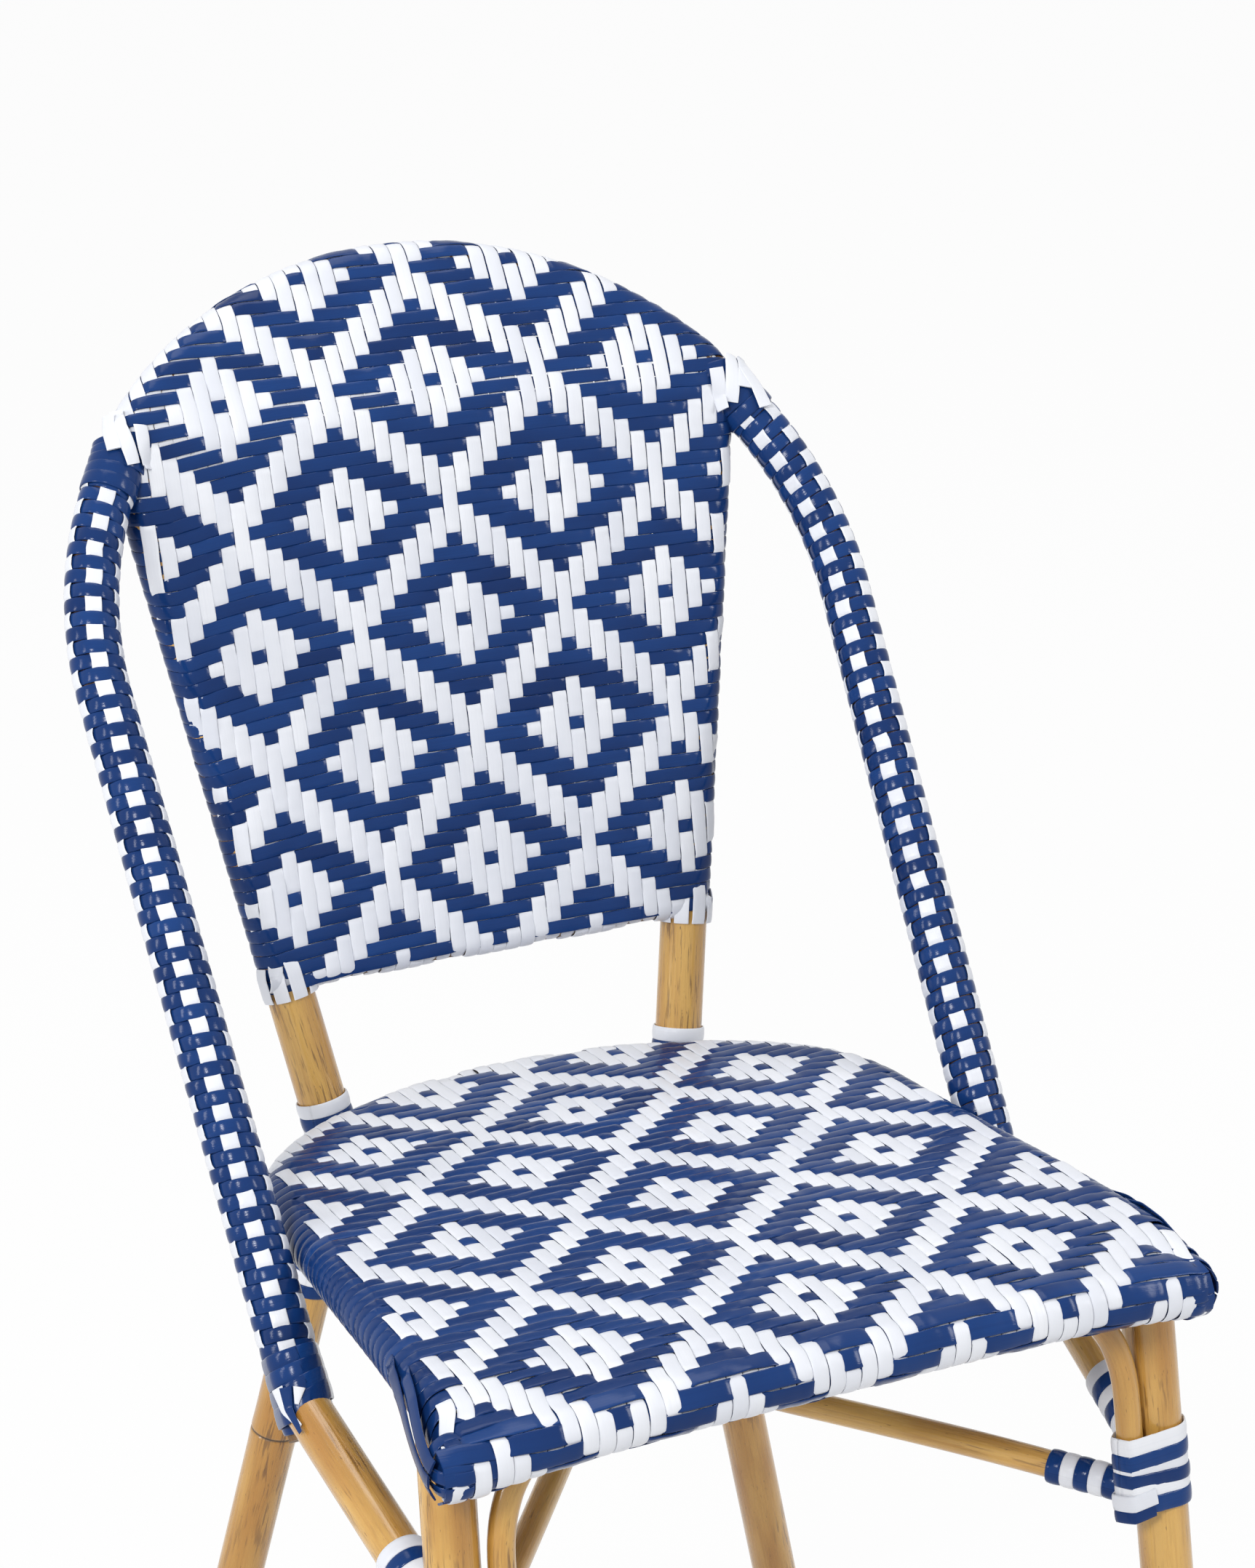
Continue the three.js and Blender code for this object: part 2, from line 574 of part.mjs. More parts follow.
// Outline of a belt round two poles, the first at the middle and the second one offset away
function beltOutline(firstRadius, secondRadius, offset) {
  const lean = Math.asin((firstRadius - secondRadius) / offset);
  const corners = [];
  for (let i = 0; i <= BELT_ARC_STEPS; i += 1) {
    const angle = Math.PI / 2 - lean + ((Math.PI + 2 * lean) * i) / BELT_ARC_STEPS;
    corners.push(new THREE.Vector2(firstRadius * Math.cos(angle), firstRadius * Math.sin(angle)));
  }
  for (let i = 0; i <= BELT_ARC_STEPS; i += 1) {
    const angle = -Math.PI / 2 + lean + ((Math.PI - 2 * lean) * i) / BELT_ARC_STEPS;
    corners.push(new THREE.Vector2(offset + secondRadius * Math.cos(angle), secondRadius * Math.sin(angle)));
  }
  return corners;
}

// The binding that ties a front leg to the arch brace, with the side and cross braces let in
function legBinding(name, side) {
  const { frontHead, frontFoot } = axes[name];
  const stretch = 1 / Math.cos(Math.PI / BELT_ARC_STEPS / 2);
  const inner = beltOutline((POLE_RADIUS + GAP) * stretch, (ARCH_BRACE_RADIUS + GAP) * stretch, archOffset);
  const outer = beltOutline(
    (POLE_RADIUS + GAP + WRAP_THICKNESS) * stretch,
    (ARCH_BRACE_RADIUS + GAP + WRAP_THICKNESS) * stretch,
    archOffset,
  );
  const belt = new THREE.Shape(outer);
  belt.holes.push(new THREE.Path(inner));
  const top = atHeight(frontHead, frontFoot, LEG_BINDING_TOP);
  const down = frontHead.clone().sub(frontFoot).normalize();
  const toArch = point(-side * Math.cos(ARCH_BRACE_TURN), -Math.sin(ARCH_BRACE_TURN), 0);
  toArch.addScaledVector(down, -toArch.dot(down)).normalize();
  const across = down.clone().cross(toArch);
  const height = (LEG_BINDING_TOP - LEG_BINDING_BOTTOM) / down.z;
  const geometry = new THREE.ExtrudeGeometry(belt, { depth: height, bevelEnabled: false });
  geometry.translate(0, 0, -height);
  geometry.applyMatrix4(new THREE.Matrix4().makeBasis(toArch, across, down).setPosition(top));
  return cut(solid(geometry), [rooms[name].brace, rooms[name].cross]);
}

for (const [name, side] of sides) {
  addPiece(`front_leg_binding_${name}`, geometryOf(legBinding(name, side)), stripMaterial);
}

// The sleeve that lashes a cross brace to the rear leg
for (const [name] of sides) {
  const { knee, rearFoot } = axes[name];
  const far = name === 'left' ? 'right' : 'left';
  const top = atHeight(knee, rearFoot, REAR_BINDING_TOP);
  const bottom = atHeight(knee, rearFoot, REAR_BINDING_BOTTOM);
  const sleeve = solid(pole([top, bottom], BINDING_RADIUS));
  const lashing = cut(sleeve, [rooms[name].rearLeg, rooms[far].cross]);
  addPiece(`rear_leg_binding_${name}`, geometryOf(lashing), stripMaterial);
}

// One unbroken strip wound round a straight pole, from a place on its axis along a direction
function winding(start, direction, coreRadius, loops) {
  const along = direction.clone().normalize();
  const out = point(0, 0, 1).cross(along).normalize();
  const across = along.clone().cross(out);
  const inside = (coreRadius + GAP) / Math.cos(Math.PI / WRAP_STEPS);
  const radius = inside + WRAP_THICKNESS / 2;
  const steps = loops * WRAP_STEPS;
  const rings = [];
  for (let step = 0; step <= steps; step += 1) {
    const turn = (2 * Math.PI * step) / WRAP_STEPS;
    const radial = out.clone().multiplyScalar(Math.cos(turn)).addScaledVector(across, Math.sin(turn));
    const onward = across.clone().multiplyScalar(Math.cos(turn)).addScaledVector(out, -Math.sin(turn));
    const onAxis = start.clone().addScaledVector(along, (WRAP_PITCH * step) / WRAP_STEPS);
    const ring = STRIP_CORNER_SHARES.map(([widthShare, thicknessShare]) => onAxis
      .clone()
      .addScaledVector(along, widthShare * WRAP_WIDTH)
      .addScaledVector(radial, radius + thicknessShare * WRAP_THICKNESS));
    const straightRun = (length) => ring.map((corner) => corner.clone().addScaledVector(onward, length));
    if (step === 0) {
      rings.push(straightRun(-WRAP_THICKNESS));
    }
    rings.push(ring);
    if (step === steps) {
      rings.push(straightRun(WRAP_THICKNESS));
    }
  }
  return rings;
}

function ringsGeometry(rings) {
  const sidesCount = rings[0].length;
  const index = [];
  for (let i = 0; i < rings.length - 1; i += 1) {
    for (let j = 0; j < sidesCount; j += 1) {
      const a = i * sidesCount + j;
      const b = i * sidesCount + ((j + 1) % sidesCount);
      index.push(a, b, b + sidesCount, a, b + sidesCount, a + sidesCount);
    }
  }
  const end = (rings.length - 1) * sidesCount;
  for (let j = 1; j < sidesCount - 1; j += 1) {
    index.push(0, j + 1, j, end, end + j, end + j + 1);
  }
  const geometry = new THREE.BufferGeometry().setFromPoints(rings.flat());
  geometry.setIndex(index);
  geometry.computeVertexNormals();
  return geometry;
}

// Least distance between points of a winding that lie more than half a loop apart
function leastGap(rings) {
  let least = Infinity;
  for (let i = 0; i < rings.length; i += 1) {
    for (let j = i + WRAP_STEPS / 2; j < rings.length; j += 1) {
      for (const corner of rings[i]) {
        for (const other of rings[j]) {
          least = Math.min(least, corner.distanceTo(other));
        }
      }
    }
  }
  return least;
}

function addWinding(name, start, direction, coreRadius, loops) {
  const rings = winding(start, direction, coreRadius, loops);
  console.log(`${name}: ${loops} loops, least gap ${leastGap(rings).toFixed(2)} mm`);
  addPiece(name, ringsGeometry(rings), stripMaterial);
}

for (const [name] of sides) {
  const { brace, knee, postHead } = axes[name];
  const cross = crossBraces[name];
  const crossWay = cross[1].clone().sub(cross[0]).normalize();
  const clear = BINDING_RADIUS + WRAP_WIDTH / 2 + WRAP_THICKNESS;
  const crossStart = cross[0].clone().addScaledVector(crossWay, clear);
  addWinding(`cross_brace_wrap_${name}`, crossStart, crossWay, CROSS_RADIUS, CROSS_WRAP_LOOPS);
  const braceWay = brace[1].clone().sub(brace[0]).normalize();
  const braceStart = brace[0].clone().addScaledVector(braceWay, clear + POLE_RADIUS / 2);
  addWinding(`side_brace_wrap_${name}`, braceStart, braceWay, SIDE_BRACE_RADIUS, SIDE_WRAP_LOOPS);
  const [postTop, postBottom] = postWrapStations(knee, postHead);
  const postWay = postTop.clone().sub(postBottom).normalize();
  const postStart = postBottom.clone().addScaledVector(postWay, WRAP_WIDTH / 2);
  addWinding(`post_wrap_${name}`, postStart, postWay, POLE_RADIUS, POST_WRAP_LOOPS);
}

// Foot glides, nailed under the level ends of the legs
function glide() {
  const radius = GLIDE_DIAMETER / 2;
  const profile = [
    new THREE.Vector2(0, 0),
    new THREE.Vector2(radius - GLIDE_CHAMFER, 0),
    new THREE.Vector2(radius, GLIDE_CHAMFER),
    new THREE.Vector2(radius, GLIDE_HEIGHT),
    new THREE.Vector2(0, GLIDE_HEIGHT),
  ];
  return new THREE.LatheGeometry(profile, GLIDE_SIDES).rotateX(Math.PI / 2);
}

for (const [name] of sides) {
  const { frontHead, frontFoot, knee, rearFoot } = axes[name];
  const soles = {
    front: atHeight(frontHead, frontFoot, GLIDE_HEIGHT),
    rear: atHeight(knee, rearFoot, GLIDE_HEIGHT),
  };
  for (const [end, sole] of Object.entries(soles)) {
    addPiece(`foot_glide_${end}_${name}`, glide(), glideMaterial).position.set(sole.x, sole.y, 0);
  }
}

// The origin is the middle of the footprint of the whole chair, on the floor
const middle = new THREE.Box3().setFromObject(chair).getCenter(new THREE.Vector3());
chair.position.set(-middle.x, -middle.y, 0);

export default chair;
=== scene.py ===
# %% [markdown]
# # A rattan bistro chair
# This lesson dresses the solid model of a bistro chair. The poles of the real chair are rattan, lacquered
# to look like bamboo. Its seat and its back are woven from flat plastic strips, blue across and white up
# and down, and the arms and joints are wound with the same strips. The solid model already has every
# pole in its place, so the work here is the surface: strips that really go over and under each other.

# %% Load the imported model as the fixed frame
import math

import bpy
import numpy as np
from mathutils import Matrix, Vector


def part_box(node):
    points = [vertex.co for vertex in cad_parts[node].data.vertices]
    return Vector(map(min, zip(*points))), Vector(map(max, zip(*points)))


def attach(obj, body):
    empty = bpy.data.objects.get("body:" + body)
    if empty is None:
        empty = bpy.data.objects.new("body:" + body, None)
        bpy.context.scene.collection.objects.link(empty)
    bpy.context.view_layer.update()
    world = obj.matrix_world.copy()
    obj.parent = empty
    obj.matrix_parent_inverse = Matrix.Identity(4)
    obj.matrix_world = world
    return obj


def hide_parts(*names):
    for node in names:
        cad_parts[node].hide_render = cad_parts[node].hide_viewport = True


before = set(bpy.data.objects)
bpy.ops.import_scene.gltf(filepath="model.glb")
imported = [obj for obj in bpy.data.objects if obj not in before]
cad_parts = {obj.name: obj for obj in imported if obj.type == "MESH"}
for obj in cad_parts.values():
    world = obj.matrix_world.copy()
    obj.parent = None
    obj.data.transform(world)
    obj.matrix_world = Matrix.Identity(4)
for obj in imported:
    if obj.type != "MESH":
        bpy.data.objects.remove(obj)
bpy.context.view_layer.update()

# %% [markdown]
# ## Sizes
# All sizes are in millimetres and are the same as in the solid model, so each strip lands where its solid
# is. The plan distances forward and back are measured from the heads of the front legs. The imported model
# is centred on the floor instead, and a foot glide tells how far apart the two origins are.

# %% Sizes of the chair, in millimetres
MM = 0.001
SEAT_HEIGHT = 450.0
SEAT_FALL = 19.0
RING_FRONT_HALF = 200.0
RING_SHOULDER_HALF = 182.0
RING_FRONT_Y = -42.0
RING_SHOULDER_Y = 245.0
RING_BACK_DEPTH = 138.0
RING_WRAP_RADIUS = 15.0
TIP_DROOP = 7.0
DEPTH_SHARES = [0, 0.1, 0.27, 0.44, 0.61, 0.77, 1]
FALL_SHARES = [0.1, 0, 0.05, 0.29, 0.47, 0.6, 1]
POLE_RADIUS = 14.0
HOOP_RADIUS = 228.0
HOOP_LEAN = math.radians(34.8)
HOOP_TAIL_Y = 151.0
HOOP_TAIL_HEIGHT = 351.0
ARM_LENGTH = 419.5
ARM_TOE_IN = 15.0
SHOULDER_ANGLE = math.radians(37.5)
LACING_RADIUS = 14.6
POST_SLEEVE_RADIUS = 15.6
RAIL_SLEEVE_RADIUS = 10.6
BACK_RAIL_HEIGHT = 506.5
STRIP, THIN_STRIP, THINNEST_STRIP = 1.3, 1.2, 1.1
FRONT_FOOT_Y = -53.2
GLIDE_HEIGHT = 6.3
SIDES = ((-1, "left"), (1, "right"))

glide_low, glide_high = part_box("foot_glide_front_left")
MIDDLE_Y = FRONT_FOOT_Y - (glide_low.y + glide_high.y) / 2 / MM
print("middle of the chair behind the front legs' heads, mm:", round(MIDDLE_Y, 2))

# %% [markdown]
# ## The camera
# The photograph was taken from in front of the chair, to its left and well above the seat, with a long
# lens. Lines drawn through matching left and right points of the chair gave the place of the camera.


# %% Camera at the photograph's viewpoint
def in_frame(places):
    """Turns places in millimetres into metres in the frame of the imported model."""
    return (np.asarray(places, float) - [0, MIDDLE_Y, 0]) * MM


def pose(right, up, back, place):
    """The matrix of an object from its three ways and its place."""
    matrix = np.eye(4)
    matrix[:3] = np.transpose([right, up, back, place])
    return matrix.T.tolist()


CAMERA_PLACE = (-761.0, -1475.1, 1284.7)
CAMERA_RIGHT = (0.9072, -0.4200, -0.0235)
CAMERA_UP = (0.1553, 0.2824, 0.9466)
FOCAL_PIXELS = 5060
PHOTO_HEIGHT = 2156
SENSOR = 36.0

camera_data = bpy.data.cameras.new("view")
camera = bpy.data.objects.new("view", camera_data)
bpy.context.scene.collection.objects.link(camera)
camera_data.sensor_width = SENSOR
camera_data.lens = SENSOR * FOCAL_PIXELS / PHOTO_HEIGHT
backward = np.cross(CAMERA_RIGHT, CAMERA_UP)
backward /= np.linalg.norm(backward)
camera.matrix_world = pose(CAMERA_RIGHT, CAMERA_UP, backward, in_frame(CAMERA_PLACE))
bpy.context.scene.camera = camera
print("lens, mm:", round(camera_data.lens, 1))

# %% [markdown]
# ## Materials as sums
# A material is a small sum: a colour that is mixed by a pattern, and a pattern that is a noise with some
# arithmetic on it. The class below lets that sum be written in Python. Each sign adds one Math node.


# %% Signals and finishes
class Signal:
    """One output of a material's node. Python's signs turn into Math nodes."""

    def __init__(self, finish, socket):
        self.finish = finish
        self.socket = socket

    def sum(self, operation, first, second):
        return self.finish.node("ShaderNodeMath", {"operation": operation}, {0: first, 1: second})

    def __add__(self, other):
        return self.sum("ADD", self, other)

    __radd__ = __add__

    def __sub__(self, other):
        return self.sum("SUBTRACT", self, other)

    def __rsub__(self, other):
        return self.sum("SUBTRACT", other, self)

    def __mul__(self, other):
        return self.sum("MULTIPLY", self, other)

    __rmul__ = __mul__


class Finish:
    """A material, or the world, whose nodes are made one by one."""

    def __init__(self, name, owners=bpy.data.materials, output="ShaderNodeOutputMaterial"):
        self.material = owners.new(name)
        self.material.use_nodes = True
        self.tree = self.material.node_tree
        self.tree.nodes.clear()
        self.output = output

    def node(self, kind, settings=None, inputs=None, output=0):
        made = self.tree.nodes.new(kind)
        for key, value in (settings or {}).items():
            if key == "ends":
                for stop, place, level in zip(made.color_ramp.elements, value, (0, 1)):
                    stop.position = place
                    stop.color = (level, level, level, 1)
            else:
                setattr(made, key, value)
        for key, value in (inputs or {}).items():
            if isinstance(value, Signal):
                self.tree.links.new(value.socket, made.inputs[key])
            else:
                made.inputs[key].default_value = value
        return Signal(self, made.outputs[output])

    def mix(self, factor, first, second):
        settings = {"data_type": "RGBA"}
        return self.node("ShaderNodeMix", settings, {0: factor, 6: first, 7: second}, 2)

    def shade(self, **inputs):
        named = {key.replace("_", " "): value for key, value in inputs.items()}
        self.show(self.node("ShaderNodeBsdfPrincipled", {}, named))

    def show(self, shader):
        self.tree.links.new(shader.socket, self.tree.nodes.new(self.output).inputs["Surface"])


def ink(red, green, blue):
    """A colour as a paint chart gives it, 0 to 255, as light."""
    levels = np.array([red, green, blue]) / 255
    light = np.where(levels <= 0.04045, levels / 12.92, ((levels + 0.055) / 1.055) ** 2.4)
    return [*light.tolist(), 1]


# %% [markdown]
# ## One mesh from many sweeps
# A strip and a pole are both a section pushed along a path, so one helper makes both. Each point also
# keeps where it is on its own strip or pole, in millimetres. The materials read that, so their grain runs
# along every piece whichever way it bends.

# %% Sweeps
UP, SIDEWAYS = np.array([0, 0, 1.0]), np.array([1.0, 0, 0])


def unit(vectors):
    return vectors / np.maximum(np.linalg.norm(vectors, axis=-1, keepdims=True), 1e-9)


def distances(places):
    """How far along a line each of its places is."""
    return np.concatenate([[0], np.cumsum(np.linalg.norm(np.diff(places, axis=0), axis=1))])


def places_at(wanted, known, places):
    """Places at the wanted distances along a line that has its places at the known ones."""
    return np.stack([np.interp(wanted, known, part) for part in np.transpose(places)], 1)


def closed_turn(steps):
    """Angles once round and one step more, so that the two ends of a band overlap."""
    return np.linspace(0, 2 * math.pi * (1 + 1 / steps), steps + 2)


def turned(first, second, turn):
    """The first way, turned towards the second by each angle."""
    return first * np.cos(turn)[:, None] + second * np.sin(turn)[:, None]


def strip_section(width, thickness=STRIP):
    """A flat strip's section: (across, up) points, slightly crowned, with rounded edges."""
    shares = [
        (-0.5, -0.12), (-0.485, 0.14), (-0.42, 0.32), (-0.22, 0.46), (0, 0.5), (0.22, 0.46),
        (0.42, 0.32), (0.485, 0.14), (0.5, -0.12), (0.44, -0.5), (-0.44, -0.5),
    ]
    return np.array(shares)[::-1] * [width, thickness]


def round_section(radius, sides=28):
    turns = np.arange(sides) * 2 * math.pi / sides
    return np.stack([np.cos(turns), np.sin(turns)], 1) * radius


GRAIN_JUMP = 977.0
SHARP_EDGE = math.radians(55)


class Piece:
    """Gathers sweeps and becomes one named object."""

    def __init__(self, name):
        self.name = name
        self.points = []
        self.faces = []
        self.grain = []
        self.marks = []
        self.size = 0
        self.sweeps = 0

    def sweep(self, path, up, section, scale=None, marks=None, level_foot=None, roll=None):
        path = np.asarray(path, float)
        up = np.broadcast_to(up, path.shape)
        tangent = unit(np.gradient(path, axis=0))
        side = unit(np.cross(tangent, up))
        over = np.cross(side, tangent)
        if roll is not None:
            side, over = turned(side, over, roll), turned(over, -side, roll)
        count, corners = len(path), len(section)
        scale = np.ones(count) if scale is None else scale
        offset = section[None, :, :] * scale[:, None, None]
        ring = path[:, None] + offset[..., :1] * side[:, None] + offset[..., 1:] * over[:, None]
        if level_foot is not None:
            slide = (level_foot - ring[-1, :, 2]) / tangent[-1, 2]
            ring[-1] += slide[:, None] * tangent[-1]
        along = distances(path)
        grain = np.empty((count, corners, 3))
        grain[..., :2] = section[None]
        grain[..., 2] = along[:, None] + GRAIN_JUMP * self.sweeps
        number = self.size + np.arange(count * corners).reshape(count, corners)
        nearer, further = number[:-1], number[1:]
        quads = np.stack([nearer, further, np.roll(further, -1, 1), np.roll(nearer, -1, 1)], -1)
        self.faces.extend(quads.reshape(-1, 4).tolist())
        self.faces.append(number[0].tolist())
        self.faces.append(number[-1][::-1].tolist())
        self.points.append(ring.reshape(-1, 3))
        self.grain.append(grain.reshape(-1, 3))
        level = np.zeros(count) if marks is None else marks
        self.marks.append(np.repeat(level, corners))
        self.size += count * corners
        self.sweeps += 1

    def make(self, finish, slot, *nodes):
        """Becomes an object on the root, in the place of the named solids."""
        mesh = bpy.data.meshes.new(self.name)
        mesh.from_pydata(in_frame(np.concatenate(self.points)).tolist(), [], self.faces)
        grain = mesh.attributes.new("grain", "FLOAT_VECTOR", "POINT")
        grain.data.foreach_set("vector", np.concatenate(self.grain).ravel())
        mark = mesh.attributes.new("mark", "FLOAT", "POINT")
        mark.data.foreach_set("value", np.concatenate(self.marks))
        mesh.polygons.foreach_set("use_smooth", [True] * len(mesh.polygons))
        mesh.set_sharp_from_angle(angle=SHARP_EDGE)
        mesh.update()
        piece = bpy.data.objects.new(self.name, mesh)
        bpy.context.scene.collection.objects.link(piece)
        piece.data.materials.append(finish.material)
        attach(piece, "root")
        if nodes:
            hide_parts(*nodes)
        print(f"{self.name}: {self.sweeps} sweeps, {len(mesh.polygons)} faces")


# %% [markdown]
# ## Finishes
# The poles are golden brown with darker fibres, small flecks and dark rings at the nodes, under a glossy
# lacquer. The strips are extruded plastic, with very fine lines along them and a soft shine. Both read the
# place that each point keeps on its own piece.


# %% Lacquered rattan
def noise(finish, grain, across, along, detail=2.0, shift=0.0):
    """A noise that is stretched along the piece: across and along are how fast it changes per mm."""
    inputs = {0: grain, 1: (across, across, along), 2: (shift, shift, shift)}
    stretched = finish.node("ShaderNodeVectorMath", {"operation": "MULTIPLY_ADD"}, inputs)
    return finish.node("ShaderNodeTexNoise", {}, {"Vector": stretched, "Scale": 1.0, "Detail": detail})


def ramp(finish, value, low, high):
    """0 up to the low value, 1 from the high one and an even rise between them."""
    return finish.node("ShaderNodeValToRGB", {"ends": (low, high)}, {"Fac": value})


def bump(finish, height, distance):
    return finish.node("ShaderNodeBump", {}, {"Height": height, "Distance": distance, "Strength": 1.0})


def rattan(name, pale, deep, dark):
    finish = Finish(name)
    grain = finish.node("ShaderNodeAttribute", {"attribute_name": "grain"}, {}, 1)
    mark = finish.node("ShaderNodeAttribute", {"attribute_name": "mark"}, {}, 2)
    tone = ramp(finish, noise(finish, grain, 0.045, 0.008), 0.36, 0.66)
    fibres = ramp(finish, noise(finish, grain, 0.75, 0.014, 3.0, 7.3), 0.5, 0.72)
    streaks = ramp(finish, noise(finish, grain, 0.6, 0.045, 5.0, 3.1), 0.54, 0.62)
    patches = ramp(finish, noise(finish, grain, 0.03, 0.014, 2.0, 9.9), 0.45, 0.56)
    stains = ramp(finish, noise(finish, grain, 0.06, 0.02, 3.0, 4.4), 0.56, 0.7)
    flecks = ramp(finish, noise(finish, grain, 1.1, 0.22, 2.0, 1.7), 0.7, 0.76)
    colour = finish.mix(tone, pale, deep)
    colour = finish.mix(fibres * 0.35 + stains * 0.4, colour, deep)
    colour = finish.mix(streaks * (patches * 0.6 + 0.08), colour, dark)
    colour = finish.mix(flecks * 0.75, colour, dark)
    colour = finish.mix(mark, colour, ink(38, 26, 16))
    height = 1 - fibres * 0.5 - streaks * patches * 0.4
    finish.shade(
        Base_Color=colour,
        Roughness=0.27 + fibres * 0.12 + mark * 0.3,
        Coat_Weight=0.5,
        Coat_Roughness=0.12,
        Normal=bump(finish, height, 0.00025),
    )
    return finish


pole_finish = rattan("pole_lacquer", ink(209, 165, 86), ink(172, 121, 50), ink(88, 53, 20))


# %% Extruded strips
def plastic_strip(name, colour, shade, roughness):
    finish = Finish(name)
    grain = finish.node("ShaderNodeAttribute", {"attribute_name": "grain"}, {}, 1)
    lines = noise(finish, grain, 1.6, 0.006, 2.0)
    batch = noise(finish, grain, 0.02, 0.011, 1.0, 5.5)
    scuffs = ramp(finish, noise(finish, grain, 0.25, 0.3, 4.0, 2.2), 0.6, 0.8)
    body = finish.mix(ramp(finish, batch, 0.3, 0.7), colour, shade)
    body = finish.mix(ramp(finish, lines, 0.45, 0.75) * 0.3, body, shade)
    finish.shade(
        Base_Color=body,
        Roughness=roughness + scuffs * 0.12 + lines * 0.06,
        Specular_IOR_Level=0.16,
        Normal=bump(finish, lines * 0.6 + scuffs * 0.2, 0.00012),
    )
    return finish


blue_finish = plastic_strip("blue_strip", ink(24, 60, 118), ink(16, 44, 94), 0.12)
white_finish = plastic_strip("white_strip", ink(229, 231, 236), ink(214, 217, 225), 0.26)

# %% [markdown]
# ## The weaving pattern
# The pattern is a traditional twill of diamonds. A white strip shows where it passes over, and a blue
# one where the white passes under. Zigzag bands cross every 14 strips across and 18 strips up, and each
# diamond between them holds a small one with a blue eye. Folding any crossing back into one quarter of
# that repeat leaves a few short rules, so no picture of the pattern is needed.

# %% Which strip is on top
REPEAT_ACROSS, REPEAT_UP = 14, 18
# A strip is level for the first share of the way between two crossings and slopes for the second.
LEVEL_SHARE, SLOPE_SHARE = 0.22, 0.56


def white_on_top(column, row):
    """True where the white strip passes over; (0, 0) is the eye of a small diamond."""
    half_across, half_up = REPEAT_ACROSS // 2, REPEAT_UP // 2
    across = abs((column + half_across) % REPEAT_ACROSS - half_across)
    up = abs(row % REPEAT_UP - half_up)
    band = (up - across >= 0) & (up - across <= 2)
    near_eye = across + half_up - up
    far_eye = half_across - across + up
    return band | ((near_eye > 0) & (near_eye <= 3)) | ((far_eye > 0) & (far_eye <= 3))


def ease(share):
    share = np.clip(share, 0, 1)
    return share * share * (3 - 2 * share)


def lifts(over, position, height, bulge=0.0):
    """Height of a strip that passes over (True) or under at each whole position."""
    held = np.concatenate([[False], over[:-2] & over[1:-1] & over[2:], [False]])
    level = np.where(over, height, -height) + bulge * held
    before = np.clip(np.floor(position).astype(int), 0, len(over) - 2)
    share = ease((position - before - LEVEL_SHARE) / SLOPE_SHARE)
    return level[before] * (1 - share) + level[before + 1] * share


dice = np.random.default_rng(7)
WHITE_DRIFT, BLUE_DRIFT = 0.11, 0.1
WHITE_ROLL, BLUE_ROLL, BLUE_BACK_ROLL = 0.03, 0.05, 0.06


def by_hand(position, spread):
    """A small drift of a strip, different at each crossing, as a hand leaves it."""
    first = int(np.floor(position.min())) - 1
    drift = dice.normal(0, spread, int(position.max()) - first + 3)
    return np.interp(position, np.arange(len(drift)) + first, drift)


sample = white_on_top(np.arange(-7, 8)[None], np.arange(-9, 10)[:, None])
for line in sample:
    print("".join("W" if white else "." for white in line))

# %% [markdown]
# ## The seat's surface
# The seat is flat in front, falls towards the back, and its strips turn round the ring at its edge. One
# function bends a flat drawing of the weave round that ring: inside the ring a point keeps its place, and
# outside it the distance to the ring becomes an angle round the ring.

# %% Seat surface
RING_BACK_Y = RING_SHOULDER_Y + RING_BACK_DEPTH
RING_MID_RADIUS = RING_WRAP_RADIUS - STRIP
SIDE_SLOPE = (RING_FRONT_HALF - RING_SHOULDER_HALF) / (RING_SHOULDER_Y - RING_FRONT_Y)
AT_A_TIME = 400


def seat_top(x, y):
    share = np.clip((y - RING_FRONT_Y) / (RING_BACK_Y - RING_FRONT_Y), 0, 1)
    near = (-0.04, -0.02, 0, 0.02, 0.04)
    fall = sum(np.interp(share + step, DEPTH_SHARES, FALL_SHARES) for step in near) / len(near)
    outward = np.minimum(1, np.abs(x) / RING_FRONT_HALF) ** 4
    forward = np.clip(y / RING_FRONT_Y, 0, 1)
    return SEAT_HEIGHT - fall * SEAT_FALL - TIP_DROOP * outward * forward


class Outline:
    """A line in a flat drawing, with its outward side, for bending what lies past it."""

    def __init__(self, places):
        steps = distances(places)
        self.places = places_at(np.linspace(0, steps[-1], int(steps[-1])), steps, places)
        self.tangent = unit(np.gradient(self.places, axis=0))
        self.normal = self.tangent[:, ::-1] * [1, -1]

    def nearest(self, flat):
        """For each flat point: the nearest place on the line, the outward way and how far out it is."""
        which = np.concatenate([
            ((part[:, None] - self.places[None]) ** 2).sum(-1).argmin(1)
            for part in np.array_split(flat, max(1, len(flat) // AT_A_TIME))
        ])
        away = flat - self.places[which]
        slide = (away * self.tangent[which]).sum(1, keepdims=True)
        base = self.places[which] + slide * self.tangent[which]
        next_one = np.clip(which + np.sign(slide[:, 0]).astype(int), 0, len(self.places) - 1)
        share = np.clip(np.abs(slide), 0, 1) * 0.5
        outward = unit(self.normal[which] * (1 - share) + self.normal[next_one] * share)
        return base, outward, (away * self.normal[which]).sum(1)


sweep = np.linspace(0, math.pi, 120)
ring_back = turned(np.array([RING_SHOULDER_HALF, 0]), np.array([0, RING_BACK_DEPTH]), sweep)
ring_back[:, 1] += RING_SHOULDER_Y
PAST_FRONT = 40
front_half = RING_FRONT_HALF + PAST_FRONT * SIDE_SLOPE
front_corner = np.array([[front_half, RING_FRONT_Y - PAST_FRONT]])
seat_edge = Outline(np.concatenate([front_corner, ring_back, front_corner * [-1, 1]]))


